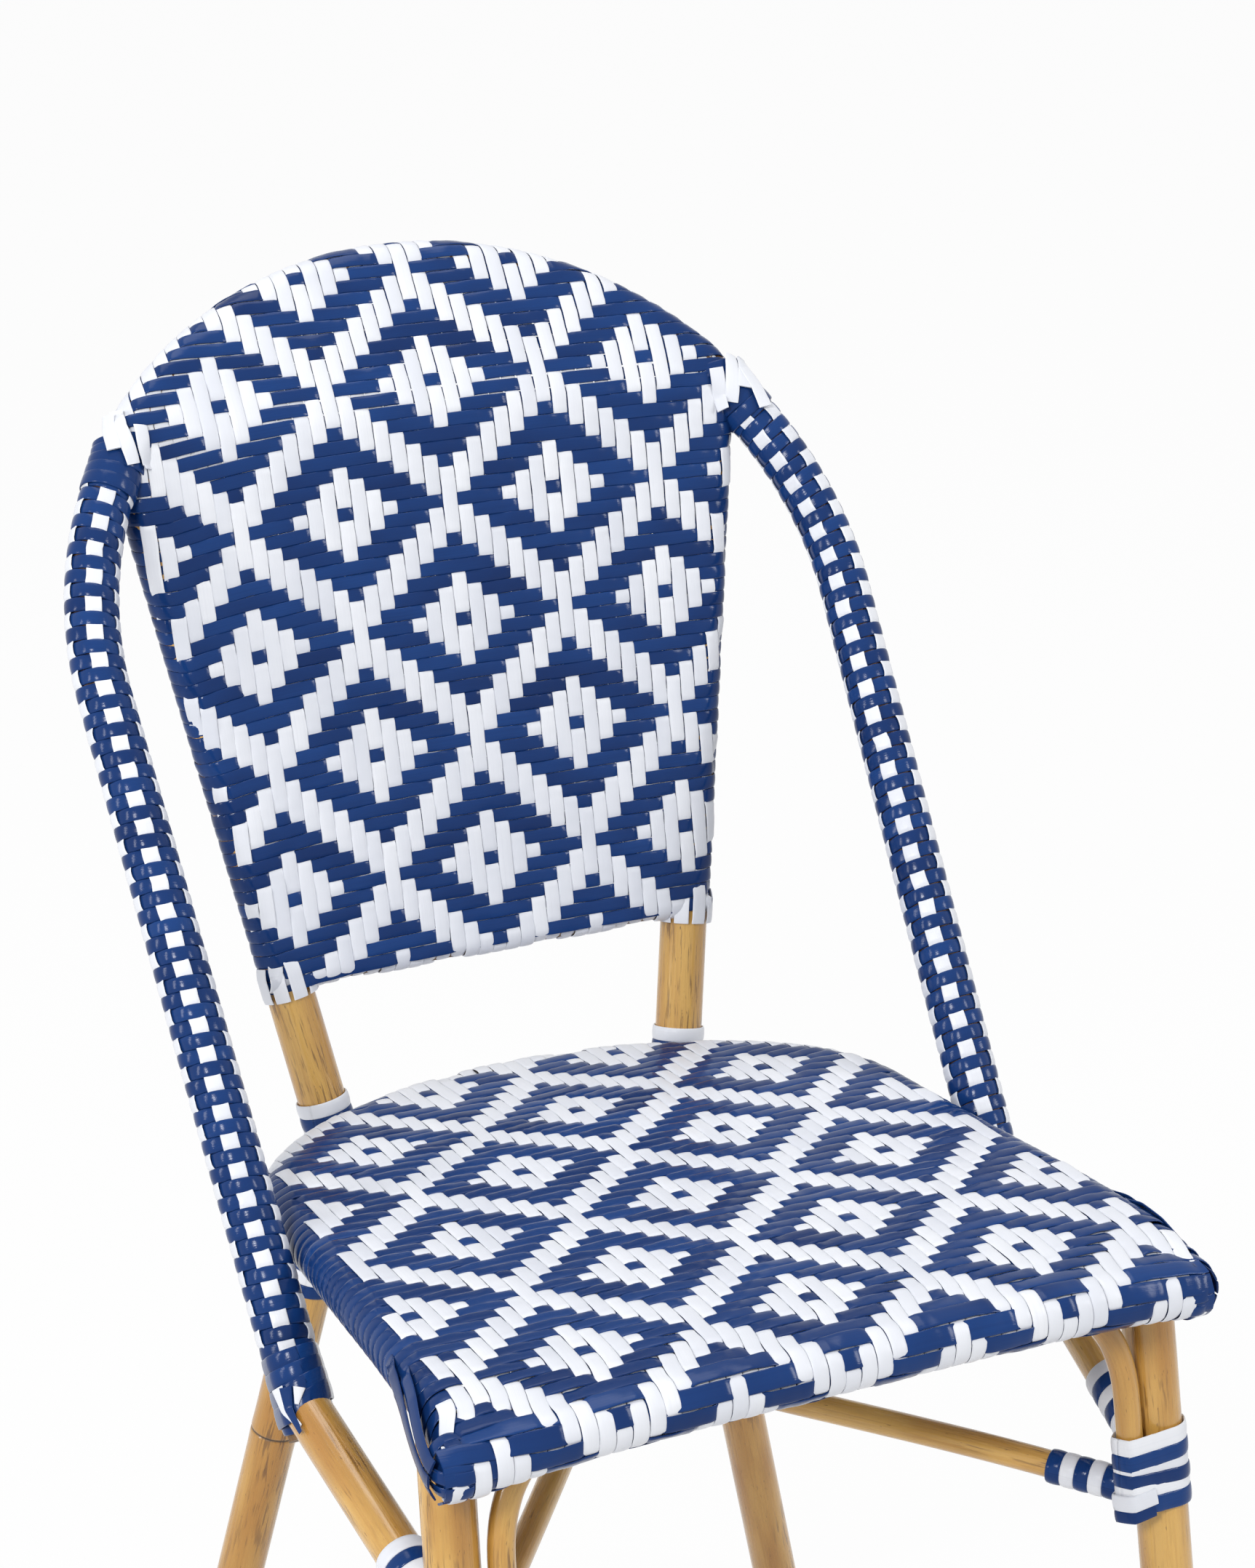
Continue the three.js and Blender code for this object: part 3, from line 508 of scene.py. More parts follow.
def seat_place(x, y, lift):
    """Place and outward way of points of the flat weave at (x, y), raised by lift."""
    rim_front = np.clip(RING_FRONT_Y - y, 0, None)
    flat = np.stack([x, np.maximum(y, RING_FRONT_Y)], 1)
    base, outward, past = seat_edge.nearest(flat)
    on_side = past > 0
    foot = np.where((on_side & (rim_front <= 0))[:, None], base, flat)
    turn = np.where(on_side, past, 0) / RING_MID_RADIUS
    front_turn = rim_front / RING_MID_RADIUS
    way = np.zeros((len(x), 3))
    way[:, :2] = outward * np.sin(turn)[:, None]
    way[:, 2] = np.cos(turn)
    front_way = np.stack([np.zeros(len(x)), -np.sin(front_turn), np.cos(front_turn)], 1)
    way = np.where((rim_front > 0)[:, None], front_way, way)
    axis = np.column_stack([foot, seat_top(foot[:, 0], foot[:, 1]) - RING_WRAP_RADIUS])
    return axis + way * (RING_MID_RADIUS + lift)[:, None], way


# %% [markdown]
# ## The woven seat
# White strips run from the back to the front and turn under at both ends. Blue strips run across and turn
# round the sides. Each is one long strip whose height follows the pattern, so the floats, the dips and the
# little shadows between them are real shapes.

# %% Rows and columns of the seat
SEAT_COLUMN = 8.78
SEAT_ROW = 8.2
SEAT_EYE_Y = 0.2
SEAT_FRONT_ROW = 9
SEAT_BACK_ROW = -46
SEAT_HALF_COLUMNS = 23
SEAT_WHITE_WIDTH = 8.5
RIM_STRETCH = 9.3
RIM_END = 8
ROW_OVERLAP = 1.02
CROSSING_LIFT = 0.72
WHITE_BULGE, BLUE_BULGE = 0.22, 0.3
STEPS_PER_CELL = 4
RIM_WRAP = RING_MID_RADIUS * math.radians(205)
SHORTEST_WARP = 35


def seat_half_width(y):
    """Half the width of the ring's axis at a plan distance."""
    side = RING_SHOULDER_HALF + (RING_SHOULDER_Y - y) * SIDE_SLOPE
    depth = np.clip((y - RING_SHOULDER_Y) / RING_BACK_DEPTH, 0, 1)
    return np.where(y < RING_SHOULDER_Y, side, RING_SHOULDER_HALF * np.sqrt(1 - depth**2))


def seat_row_y(row):
    """Plan place of a row; the rows are further apart where they bend over the front edge."""
    return SEAT_EYE_Y - row * SEAT_ROW - RIM_STRETCH * ease((row - 2) / 6)


# Where a hand has pulled the weave off its grid: the middle, the reach, and how far across and back.
SEAT_PULLS = [
    ((-50, 325), (85, 58), (3, -12)),
    ((195, 160), (50, 80), (0, 3)),
    ((-208, -64), (30, 26), (0, 7)),
]
RIM_SHIFT, RIM_SPREAD = 4.5, 0.3


def seat_drift(x, y):
    """Where points of an even weave lie in this one, which is pulled here and there and at the rim."""
    pulled = [x, y]
    for middle, reach, pull in SEAT_PULLS:
        share = np.exp(-(((x - middle[0]) / reach[0]) ** 2) - ((y - middle[1]) / reach[1]) ** 2)
        pulled = [place + way * share for place, way in zip(pulled, pull)]
    spread = ease((-18 - y) / 24) * RIM_SPREAD * np.clip(-x - 185, 0, 30)
    return pulled[0] - RIM_SHIFT * ease((-12 - y) / 30) - spread, pulled[1]


print("rows of the seat:", SEAT_FRONT_ROW - SEAT_BACK_ROW + 1, "columns:", 2 * SEAT_HALF_COLUMNS + 1)

# %% White strips from the back to the front
seat_rows = np.arange(SEAT_FRONT_ROW + 5, SEAT_BACK_ROW - 10, -1)
fine_seat_rows = np.arange(SEAT_FRONT_ROW + 4, SEAT_BACK_ROW - 9, -1 / STEPS_PER_CELL)
fine_seat_y = seat_row_y(fine_seat_rows)
front_y = RING_FRONT_Y - RIM_WRAP
seat_warps = [Piece("seat_white_strips_left"), Piece("seat_white_strips_right")]
warp_section = strip_section(SEAT_WHITE_WIDTH)
for column in range(-SEAT_HALF_COLUMNS, SEAT_HALF_COLUMNS + 1):
    x = column * SEAT_COLUMN
    if abs(x) < RING_SHOULDER_HALF:
        depth = math.sqrt(1 - (abs(x) / RING_SHOULDER_HALF) ** 2)
        back_y = RING_SHOULDER_Y + RING_BACK_DEPTH * depth + RIM_WRAP
    else:
        back_y = RING_SHOULDER_Y - (abs(x) - RING_SHOULDER_HALF) / SIDE_SLOPE + RING_MID_RADIUS
        back_y = max(back_y, RING_FRONT_Y + SHORTEST_WARP)
    kept = (fine_seat_y > front_y) & (fine_seat_y < back_y)
    position = seat_rows[0] - fine_seat_rows[kept]
    height = lifts(white_on_top(column, seat_rows), position, CROSSING_LIFT, WHITE_BULGE)
    place, way = seat_place(*seat_drift(x + by_hand(position, WHITE_DRIFT), fine_seat_y[kept]), height)
    seat_warps[column >= 0].sweep(place, way, warp_section, roll=by_hand(position, WHITE_ROLL))
for half_weave in seat_warps:
    half_weave.make(white_finish, "woven_strip", "seat_weave")

# %% Blue strips across the seat
seat_wefts = [Piece("seat_blue_strips_front"), Piece("seat_blue_strips_back")]
MIDDLE_ROW = (SEAT_BACK_ROW + SEAT_FRONT_ROW) / 2
columns = np.arange(-SEAT_HALF_COLUMNS - 8, SEAT_HALF_COLUMNS + 9)
for row in range(SEAT_BACK_ROW, SEAT_FRONT_ROW + 1):
    y = float(seat_row_y(row))
    weft_section = strip_section((seat_row_y(row - 0.5) - seat_row_y(row + 0.5)) * ROW_OVERLAP)
    on_rim = y < RING_FRONT_Y
    to_side = float(seat_half_width(min(y, RING_BACK_Y))) + RIM_WRAP
    half = RING_FRONT_HALF + RIM_END if on_rim else to_side
    x = np.linspace(-half, half, int(2 * half / SEAT_COLUMN * STEPS_PER_CELL))
    position = x / SEAT_COLUMN - columns[0]
    height = lifts(~white_on_top(columns, row), position, CROSSING_LIFT, BLUE_BULGE)
    last = (SEAT_HALF_COLUMNS + (0.5 if on_rim else -0.5)) * SEAT_COLUMN
    edge = min(float(seat_half_width(max(y, RING_FRONT_Y))) + 2, last)
    inside = ease((edge + 2 - np.abs(x)) / 5)
    place, way = seat_place(*seat_drift(x, y + by_hand(position, BLUE_DRIFT)), height * inside)
    seat_wefts[row < MIDDLE_ROW].sweep(place, way, weft_section, roll=by_hand(position, BLUE_ROLL))
for half_weave in seat_wefts:
    half_weave.make(blue_finish, "woven_strip", "seat_weave")

# %% [markdown]
# ## The seat's front corners
# At each front corner the weaver folds five blue strips over the end of the ring and lays three more
# along the side, which hides the cut ends. The folds lie on a squashed ball round the end of the ring. A
# collar behind them and a plain core inside close the gaps.

# %% Corner folds and side strips
CORNER_RADIUS = RING_WRAP_RADIUS + 0.4
CORNER_WIDTH, COLLAR_WIDTH = 7.0, 7.4
COLLAR_BACK, COLLAR_LIFT = 5.0, np.array([1.3, 0, 1.1])
SUNK = 1.4
CORE_INSET = 0.4
CORNER_MIDDLE = {"left": -209.0, "right": 195.0}
CORNER_REACH = np.array([11.0, 13.0, 14.2])
# Folds over the end: lean to the side, lift and width. Folds round the front: height, lift and width.
# Strips along the side: first and last turn from upright in degrees, length and lift.
END_FOLDS = [(0.72, 0.0, 7.4), (0.15, 0.5, 7.6), (-0.45, 0.2, 7.2)]
FRONT_FOLDS = [(-0.42, 1.4, 7.0), (0.16, 1.9, 6.6)]
SIDE_STRIPS = [(48, 62, 78, 1.2), (60, 88, 96, 1.5), (76, 114, 84, 1.2)]


def fold(corner, middle, turn, side_way, height, lift, width):
    """A strip folded over the end of the ring, on a ball that is squashed to CORNER_REACH."""
    way = unit(np.stack([side_way, -np.cos(turn), height], 1))
    reach = CORNER_REACH + lift
    corner.sweep(middle + way * reach, way / reach, strip_section(width, THIN_STRIP))


for side, side_name in SIDES:
    corner = Piece(f"seat_corner_folds_{side_name}")
    rise = float(seat_top(RING_FRONT_HALF, RING_FRONT_Y)) - RING_WRAP_RADIUS
    middle = np.array([CORNER_MIDDLE[side_name], RING_FRONT_Y, rise])
    turn = np.radians(np.linspace(-112, 104, 44))
    for lean, lift, width in END_FOLDS:
        fold(corner, middle, turn, side * lean * np.cos(turn * 0.6), np.sin(turn), lift, width)
    turn = np.radians(np.linspace(-20, 112, 34))
    for height, lift, width in FRONT_FOLDS:
        fold(corner, middle, turn, side * np.sin(turn), np.full(34, height), lift, width)
    for start, finish, reach, lift in SIDE_STRIPS:
        share = np.linspace(0, 1, 50)
        y = RING_FRONT_Y - 6 + reach * (1 - share)
        turn = np.radians(start + (finish - start) * ease(share * 1.2))
        on_ring = np.maximum(y, RING_FRONT_Y)
        half = RING_FRONT_HALF + (RING_FRONT_Y - on_ring) * SIDE_SLOPE
        out = (abs(middle[0]) - RING_FRONT_HALF - 1) * ease(share)
        axis = np.stack([side * (half + out), y, seat_top(half, on_ring) - RING_WRAP_RADIUS], 1)
        way = turned(UP, SIDEWAYS * side, turn)
        radius = CORNER_RADIUS - SUNK + (lift + SUNK) * ease(share * 6)
        corner.sweep(axis + way * radius[:, None], way, strip_section(CORNER_WIDTH, THIN_STRIP))
    way = turned(UP, SIDEWAYS * -side, np.radians(np.linspace(-150, 40, 60)))
    collar = middle + [0, COLLAR_BACK, 0] + way * (CORNER_REACH + COLLAR_LIFT)
    corner.sweep(collar, way, strip_section(COLLAR_WIDTH, THIN_STRIP))
    share = np.linspace(-0.995, 0.995, 21)
    core = middle + np.outer(share, [CORNER_REACH[0] - CORE_INSET, 0, 0])
    core_section = round_section(1.0, 20) * (CORNER_REACH[1:] - CORE_INSET)
    corner.sweep(core, UP, core_section, np.sqrt(1 - share**2))
    corner.make(blue_finish, "woven_strip")

# %% [markdown]
# ## The back panel's surface
# The panel lies against the fronts of the two posts, and near its top it leans back with the arch. Its
# profile is the same at every width, so it can be unrolled flat. The distance along that profile and the
# distance from the middle are the flat drawing, and the posts, the arch and the bottom rail are its edges.


# %% Back surface
def hoop_point(half, up_plane):
    """Places on the hoop's leaning plane, by the distance from its middle line and the way up it."""
    half, up_plane = np.broadcast_arrays(half, up_plane)
    return np.stack([
        half,
        HOOP_TAIL_Y + up_plane * math.sin(HOOP_LEAN),
        HOOP_TAIL_HEIGHT + up_plane * math.cos(HOOP_LEAN),
    ], -1).astype(float)


def arch_point(angle):
    """Places on the arch over the back, by the angle from level."""
    return hoop_point(HOOP_RADIUS * np.cos(angle), ARM_LENGTH + HOOP_RADIUS * np.sin(angle))


def mirrored(place, side):
    """A place of the right side, or its mirror image on the left one."""
    return np.asarray(place, float) * [side, 1, 1]


KNEE = np.array([108.5, 383.6, 392.5])
SHOULDER = arch_point(SHOULDER_ANGLE)
POST_WAY = (SHOULDER - KNEE) / (SHOULDER[2] - KNEE[2])
POST_LEAN = math.atan(POST_WAY[1])


def panel_front_y(z):
    """Front of the panel at a height: the posts' fronts low down and the arch's front at the top."""
    on_posts = KNEE[1] + (z - KNEE[2]) * POST_WAY[1] - POST_SLEEVE_RADIUS / math.cos(POST_LEAN)
    crown_y = HOOP_TAIL_Y - LACING_RADIUS / math.cos(HOOP_LEAN)
    on_crown = crown_y + (z - HOOP_TAIL_HEIGHT) * math.tan(HOOP_LEAN)
    return 0.5 * (on_posts + on_crown + np.sqrt((on_posts - on_crown) ** 2 + 9))


PROFILE_LOW, PROFILE_HIGH = 460, 960
profile_z = np.linspace(PROFILE_LOW, PROFILE_HIGH, 1001)
profile_y = panel_front_y(profile_z)
profile_v = np.concatenate([[0], np.cumsum(np.hypot(np.diff(profile_z), np.diff(profile_y)))])


def along_profile(z):
    return np.interp(z, profile_z, profile_v)


print("unrolled height of the profile, mm:", round(profile_v[-1]))

# %% Edges of the back
POST_LOW = 462
ARCH_INSET = 0.04
post_z = np.linspace(POST_LOW, SHOULDER[2], 60)
post_x = KNEE[0] + (post_z - KNEE[2]) * POST_WAY[0]
post_v = along_profile(post_z + POST_SLEEVE_RADIUS * math.sin(POST_LEAN))
arch = arch_point(np.linspace(SHOULDER_ANGLE + ARCH_INSET, math.pi - SHOULDER_ANGLE - ARCH_INSET, 120))
arch_v = along_profile(arch[:, 2] + LACING_RADIUS * math.sin(HOOP_LEAN))
right_post = np.stack([post_x, post_v], 1)
left_post = right_post[::-1] * [-1, 1]
panel_edge = Outline(np.concatenate([right_post, np.stack([arch[:, 0], arch_v], 1), left_post]))
SHOULDER_V = float(along_profile(SHOULDER[2] + 4))
RAIL_V = float(along_profile(BACK_RAIL_HEIGHT + RAIL_SLEEVE_RADIUS * math.sin(POST_LEAN)))


def bent_place(flat, axis_radius, outward, past, lift):
    """Places round an edge: flat is the foot on the edge, past the distance beyond it."""
    z = np.interp(flat[:, 1], profile_v, profile_z)
    slope = np.interp(z, profile_z, np.gradient(profile_y, profile_z))
    up_way = unit(np.stack([np.zeros(len(z)), slope, np.ones(len(z))], 1))
    front_way = np.stack([np.zeros(len(z)), -up_way[:, 2], up_way[:, 1]], 1)
    out_way = outward[:, :1] * SIDEWAYS + outward[:, 1:] * up_way
    radius = axis_radius - STRIP
    way = turned(front_way, out_way, past / radius)
    surface = np.stack([flat[:, 0], panel_front_y(z), z], 1)
    return surface - front_way * axis_radius[:, None] + way * (radius + lift)[:, None], way


def panel_place(x, v, lift, to_rail=False):
    """Place and outward way of points of the flat drawing at (x, v), raised by lift."""
    flat = np.stack([x, v], 1)
    base, outward, past = panel_edge.nearest(flat)
    radius = np.where(base[:, 1] > SHOULDER_V, LACING_RADIUS, POST_SLEEVE_RADIUS)
    if to_rail:
        below = RAIL_V - v
        on_rail = below > 0
        base = np.where(on_rail[:, None], np.stack([x, np.full(len(x), RAIL_V)], 1), base)
        outward = np.where(on_rail[:, None], [[0.0, -1.0]], outward)
        past = np.where(on_rail, below, past)
        radius = np.where(on_rail, RAIL_SLEEVE_RADIUS, radius)
    foot = np.where((past > 0)[:, None], base, flat)
    return bent_place(foot, radius, outward, np.clip(past, 0, None), lift)


# %% [markdown]
# ## The woven back
# The white strips hang from the arch and turn under at the bottom rail. They end under the blue wraps
# where the posts close in on them. The blue strips run from post to post and turn round each of them. At
# the bottom of each post a few white ends hang over the last blue wraps.

# %% Rows and columns of the back
EYE_Z = 827.9
PANEL_ROW = 7.8
LOWER_ROW, ROW_GROWTH = 7.39, 0.0053
PANEL_COLUMN, COLUMN_TAPER = 9.34, 0.00176
BACK_WHITE_WIDTH, BACK_BLUE_WIDTH = 8.85, 7.7
PANEL_HALF_COLUMNS = 21
PANEL_TOP_ROW = -14
PANEL_BOTTOM_ROW = 42
ARCH_WRAP = 61.0
POST_WRAP = 67.0
RAIL_WRAP = 39.0
WARP_TUCK = 13.5
FEWEST_STEPS = 12


def panel_row_v(row):
    """Place of a row along the profile, from the eyes of the small diamonds in the photograph."""
    below = along_profile(EYE_Z - LOWER_ROW * row - ROW_GROWTH * row**2)
    above = along_profile(EYE_Z) - row * PANEL_ROW
    return np.where(row >= 0, below, above)


def column_x(column, v):
    """Place of a column across; the columns close in towards the bottom."""
    z = np.interp(v, profile_v, profile_z)
    return column * (PANEL_COLUMN - np.clip(EYE_Z - z, 0, None) * COLUMN_TAPER)


def panel_drift(x, v):
    """How far the weave of the back is pulled from its grid towards its sides."""
    z = np.interp(v, profile_v, profile_z)
    left, right = np.clip(-x / 150, 0, 1.15), np.clip(x / 130, 0, 1.3)
    low = ease((865 - z) / 80)
    across = 1.3 + 2.9 * left**3 + 1.8 * right**2 * low + 4.5 * right**2 * (1 - low)
    up = -0.5 - 7.5 * left**3 * low + 3 * left**2 * (1 - low) - 1.6 * right**2
    return x + across, v + up


print("rows of the back:", PANEL_BOTTOM_ROW - PANEL_TOP_ROW + 1, "columns:", 2 * PANEL_HALF_COLUMNS + 1)

# %% White strips down the back
back_white_section = strip_section(BACK_WHITE_WIDTH)
fine_rows = np.arange(PANEL_TOP_ROW - 6, PANEL_BOTTOM_ROW + 8, 1 / STEPS_PER_CELL)
fine_v = panel_row_v(fine_rows)
panel_warps = [Piece("back_white_strips_left"), Piece("back_white_strips_right")]
whole_rows = np.arange(PANEL_TOP_ROW - 7, PANEL_BOTTOM_ROW + 9)
for column in range(-PANEL_HALF_COLUMNS, PANEL_HALF_COLUMNS + 1):
    x, drifted_v = panel_drift(column_x(column, fine_v), fine_v)
    flat = np.stack([x, drifted_v], 1)
    _, outward, past = panel_edge.nearest(flat)
    over_arch = (outward[:, 1] > 0.3) & (drifted_v > SHOULDER_V - 20)
    kept = past < np.where(over_arch, ARCH_WRAP, WARP_TUCK)
    kept &= RAIL_V - drifted_v < RAIL_WRAP
    kept_at = np.flatnonzero(kept)
    if len(kept_at) < FEWEST_STEPS:
        continue
    kept_at = np.arange(kept_at[0], kept_at[-1] + 1)
    position = fine_rows[kept_at] - whole_rows[0]
    height = lifts(white_on_top(column, whole_rows), position, CROSSING_LIFT, WHITE_BULGE)
    dive = np.where(over_arch[kept_at], 0, ease((past[kept_at] - WARP_TUCK + 2.5) / 2))
    height = height * (1 - dive) - CROSSING_LIFT * dive
    hand_x = x[kept_at] + by_hand(position, WHITE_DRIFT)
    place, way = panel_place(hand_x, drifted_v[kept_at], height, to_rail=True)
    panel_warps[column >= 0].sweep(place, way, back_white_section, roll=by_hand(position, WHITE_ROLL))
for half_weave in panel_warps:
    half_weave.make(white_finish, "woven_strip", "back_weave")

# %% Blue strips across the back
panel_wefts = [Piece("back_blue_strips_upper"), Piece("back_blue_strips_lower")]
MIDDLE_PANEL_ROW = 12
FURTHEST = 330
back_blue_section = strip_section(BACK_BLUE_WIDTH)
columns = np.arange(-PANEL_HALF_COLUMNS - 16, PANEL_HALF_COLUMNS + 17)
grid_x = np.arange(-FURTHEST, FURTHEST, SEAT_COLUMN / STEPS_PER_CELL)
for row in range(PANEL_TOP_ROW, PANEL_BOTTOM_ROW + 1):
    grid_v = float(panel_row_v(row))
    x, v = panel_drift(grid_x, grid_v)
    _, outward, past = panel_edge.nearest(np.stack([x, v], 1))
    kept = past < POST_WRAP
    if kept.sum() < FEWEST_STEPS:
        continue
    position = grid_x[kept] / float(column_x(1, grid_v)) - columns[0]
    height = lifts(~white_on_top(columns, row), position, CROSSING_LIFT, BLUE_BULGE)
    on_post = np.abs(outward[kept][:, 0]) > 0.6
    height *= np.where(on_post, ease((POST_SLEEVE_RADIUS - 0.1 - past[kept]) / 4), 1)
    place, way = panel_place(x[kept], v[kept] + by_hand(position, BLUE_DRIFT), height)
    roll = by_hand(position, BLUE_BACK_ROLL)
    panel_wefts[row > MIDDLE_PANEL_ROW].sweep(place, way, back_blue_section, roll=roll)
for half_weave in panel_wefts:
    half_weave.make(blue_finish, "woven_strip", "back_weave")

# %% White ends over the posts' sleeves
# The turn of each tip from the front, in degrees, and its length.
POST_END_TURNS = [-70, -32, 6, 44, 82]
POST_END_LENGTHS = [21, 16, 23, 15, 20]
POST_END_HEIGHT = 491.5
TIP_WIDTH, TIP_LIFT = 8.8, 0.9

for side, side_name in SIDES:
    ends = Piece(f"post_end_white_tips_{side_name}")
    way = unit(POST_WAY * [side, 1, 1])
    front = unit(np.array([0, -1.0, 0]) + way * way[1])
    beside = np.cross(front, way)
    start = mirrored(KNEE, side) + way * (POST_END_HEIGHT - KNEE[2]) / way[2]
    for turn, length in zip(POST_END_TURNS, POST_END_LENGTHS):
        up = np.linspace(0, length, 8)
        spoke = turned(front, -beside, np.radians([turn]))
        sink = 1.6 * ease(up / length * 4 - 3) + 0.5 * ease(1 - up / 3)
        reach = spoke * (POST_SLEEVE_RADIUS + TIP_LIFT - sink)[:, None]
        ends.sweep(start + np.outer(up, way) + reach, spoke, strip_section(TIP_WIDTH, THINNEST_STRIP))
    ends.make(white_finish, "woven_strip")

# %% [markdown]
# ## The arm lacing
# Each arm is wound with one long blue strip. Five white strips lie along the arm, and the blue one passes
# over and under them in turn. Five is an odd number, so every turn goes the other way from the last one,
# and that alone gives the columns of little white squares. Near the arm's lower end the white strips stop,
# and the last blue turns lie plain.

# %% The arm's axis
# Millimetres from turn to turn, twist in turns for each millimetre and the front white strip's turn.
ARM_PITCH = {"left": 8.04, "right": 8.48}
ARM_TWIST = {"left": 0.00006, "right": -0.00022}
FRONT_RUNNER = {"left": 0.018, "right": -0.042}
ARM_START = {"left": 32.4, "right": 34.0}
PLAIN_END = 46.0
RUNNERS = 5
LACING_WIDTH, RUNNER_WIDTH = 7.95, 9.0
RUNNER_LIFT = 0.55
STRIP_MIDDLE = LACING_RADIUS - STRIP / 2
hoop_front = np.array([0, -math.cos(HOOP_LEAN), math.sin(HOOP_LEAN)])


def arm_axis(side):
    """The arm's axis from the shoulder down to the tail, a place at each millimetre."""
    angles = np.linspace(SHOULDER_ANGLE, 0, 40)
    curved = arch_point(angles)
    up = np.linspace(ARM_LENGTH, 0, 120)[1:]
    straight = hoop_point(HOOP_RADIUS - ARM_TOE_IN * (1 - up / ARM_LENGTH), up)
    axis = np.concatenate([curved, straight])
    axis[:, 0] *= side
    steps = distances(axis)
    return places_at(np.arange(0, steps[-1], 1.0), steps, axis)


def round_axis(axis, distance, turn, radius):
    """Places round an axis, by the distance along it and the turn from its front."""
    known = np.arange(len(axis))
    way = unit(places_at(distance, known, unit(np.gradient(axis, axis=0))))
    out = turned(hoop_front, unit(np.cross(way, hoop_front)), 2 * math.pi * turn)
    return places_at(distance, known, axis) + out * radius[:, None], out


# %% Wind the arms
for side, side_name in SIDES:
    axis = arm_axis(side)
    phase, start = FRONT_RUNNER[side_name], ARM_START[side_name]
    pitch, twist = ARM_PITCH[side_name], ARM_TWIST[side_name]
    turns = int((len(axis) - start - 5) / pitch)
    turn = np.arange(-0.8, turns, 1 / (RUNNERS * 9))
    whole = np.arange(-2 * RUNNERS - 1, (turns + 1) * RUNNERS)
    distance = start + turn * pitch
    woven = ease((len(axis) - PLAIN_END - distance) / 4)
    radius = STRIP_MIDDLE + lifts(whole % 2 == 0, turn * RUNNERS - whole[0], RUNNER_LIFT) * woven
    place, out = round_axis(axis, distance, phase + twist * distance + side * turn, radius)
    lacing = Piece(f"arm_blue_lacing_{side_name}")
    lacing.sweep(place, out, strip_section(LACING_WIDTH), roll=by_hand(turn * RUNNERS, WHITE_ROLL))
    lacing.make(blue_finish, "woven_strip", f"arm_lacing_{side_name}")
    runners = Piece(f"arm_white_runners_{side_name}")
    distance = np.arange(start - 4, len(axis) - PLAIN_END + 4, 0.8)
    whole = np.arange(-4, turns + 3)
    for first in range(RUNNERS):
        share = first / RUNNERS
        winds = (distance - start) / pitch - share
        over = (whole * RUNNERS + first) % 2 == 1
        radius = STRIP_MIDDLE + lifts(over, winds - whole[0], RUNNER_LIFT)
        angle = phase + twist * distance + side * (share + by_hand(winds, 0.004))
        place, out = round_axis(axis, distance, angle, radius)
        runners.sweep(place, out, strip_section(RUNNER_WIDTH, THINNEST_STRIP))
    runners.make(white_finish, "woven_strip", f"arm_lacing_{side_name}")

# %% [markdown]
# ## The shoulders and the arms' lower ends
# At each shoulder the strips fan out from level, as in the back, to square across the arm. Each is a loop
# whose plane turns a little further. They stand a little proud, because they lie on the ends of the strips
# of the back. At the lower end a few wide loops hold the arm's tail and the head of the side brace
# together, and short tails of strip hide the end of the pole.

# %% Fans at the shoulders
FAN_RADIUS = 15.5
FAN_LOOPS = 5
FAN_WIDTH, SHOULDER_WHITE_WIDTH = 8.6, 8.4
FAN_LIFT, SHOULDER_WHITE_LIFT, STACK_LIFT = 0.1, 2.1, 0.25

hoop_up = np.array([0, math.sin(HOOP_LEAN), math.cos(HOOP_LEAN)])
for side, side_name in SIDES:
    fan = Piece(f"shoulder_blue_fan_{side_name}")
    axis = arm_axis(side)
    reach = ARM_START[side_name] - 3
    for number, distance in enumerate(np.linspace(3, reach + 1, FAN_LOOPS)):
        square = SHOULDER_ANGLE - distance / HOOP_RADIUS
        slope = square * min(1, (distance + 3) / (reach + 3))
        across = np.array([side * math.cos(slope), 0, 0]) + hoop_up * math.sin(slope)
        stretch = FAN_RADIUS / math.cos(square - slope)
        loop = turned(across * stretch, hoop_front * (FAN_RADIUS + FAN_LIFT * number), closed_turn(60))
        fan.sweep(axis[int(distance)] + loop, unit(loop), strip_section(FAN_WIDTH, THIN_STRIP))
    fan.make(blue_finish, "woven_strip")

# %% White strips over the shoulders
# Points of each strip: distance from the chair's middle line and the way up the hoop's plane.
SHOULDER_WHITES = {
    "left": [
        [(176.0, 563.0), (176.7, 549.6), (175.3, 538.5)],
        [(186.0, 575.0), (187.7, 563.5), (186.4, 553.4), (185.0, 540.5)],
        [(191.0, 573.0), (193.4, 562.5), (194.0, 550.5)],
    ],
    "right": [
        [(177.7, 554.6), (177.6, 530.1)],
        [(190.0, 562.5), (186.5, 549.0), (183.0, 533.5)],
        [(198.5, 560.5), (195.5, 551.0), (191.8, 540.0)],
        [(196.0, 553.0), (199.5, 541.0), (201.5, 526.0)],
    ],
}


def on_front(side, axis, across_up, reach):
    """Places on the front of an arm from (half width, up) points in the hoop's plane."""
    steps = np.linspace(0, len(across_up) - 1, 8 * len(across_up))
    half, up = places_at(steps, np.arange(len(across_up)), across_up).T
    flat = hoop_point(half * side, up)
    nearest = axis[((flat[:, None] - axis[None]) ** 2).sum(-1).argmin(1)]
    away = np.linalg.norm(flat - nearest, axis=1)
    depth = np.sqrt(reach**2 - np.minimum(away, reach * 0.8) ** 2)
    place = flat + hoop_front * depth[:, None]
    return place, unit(place - nearest)


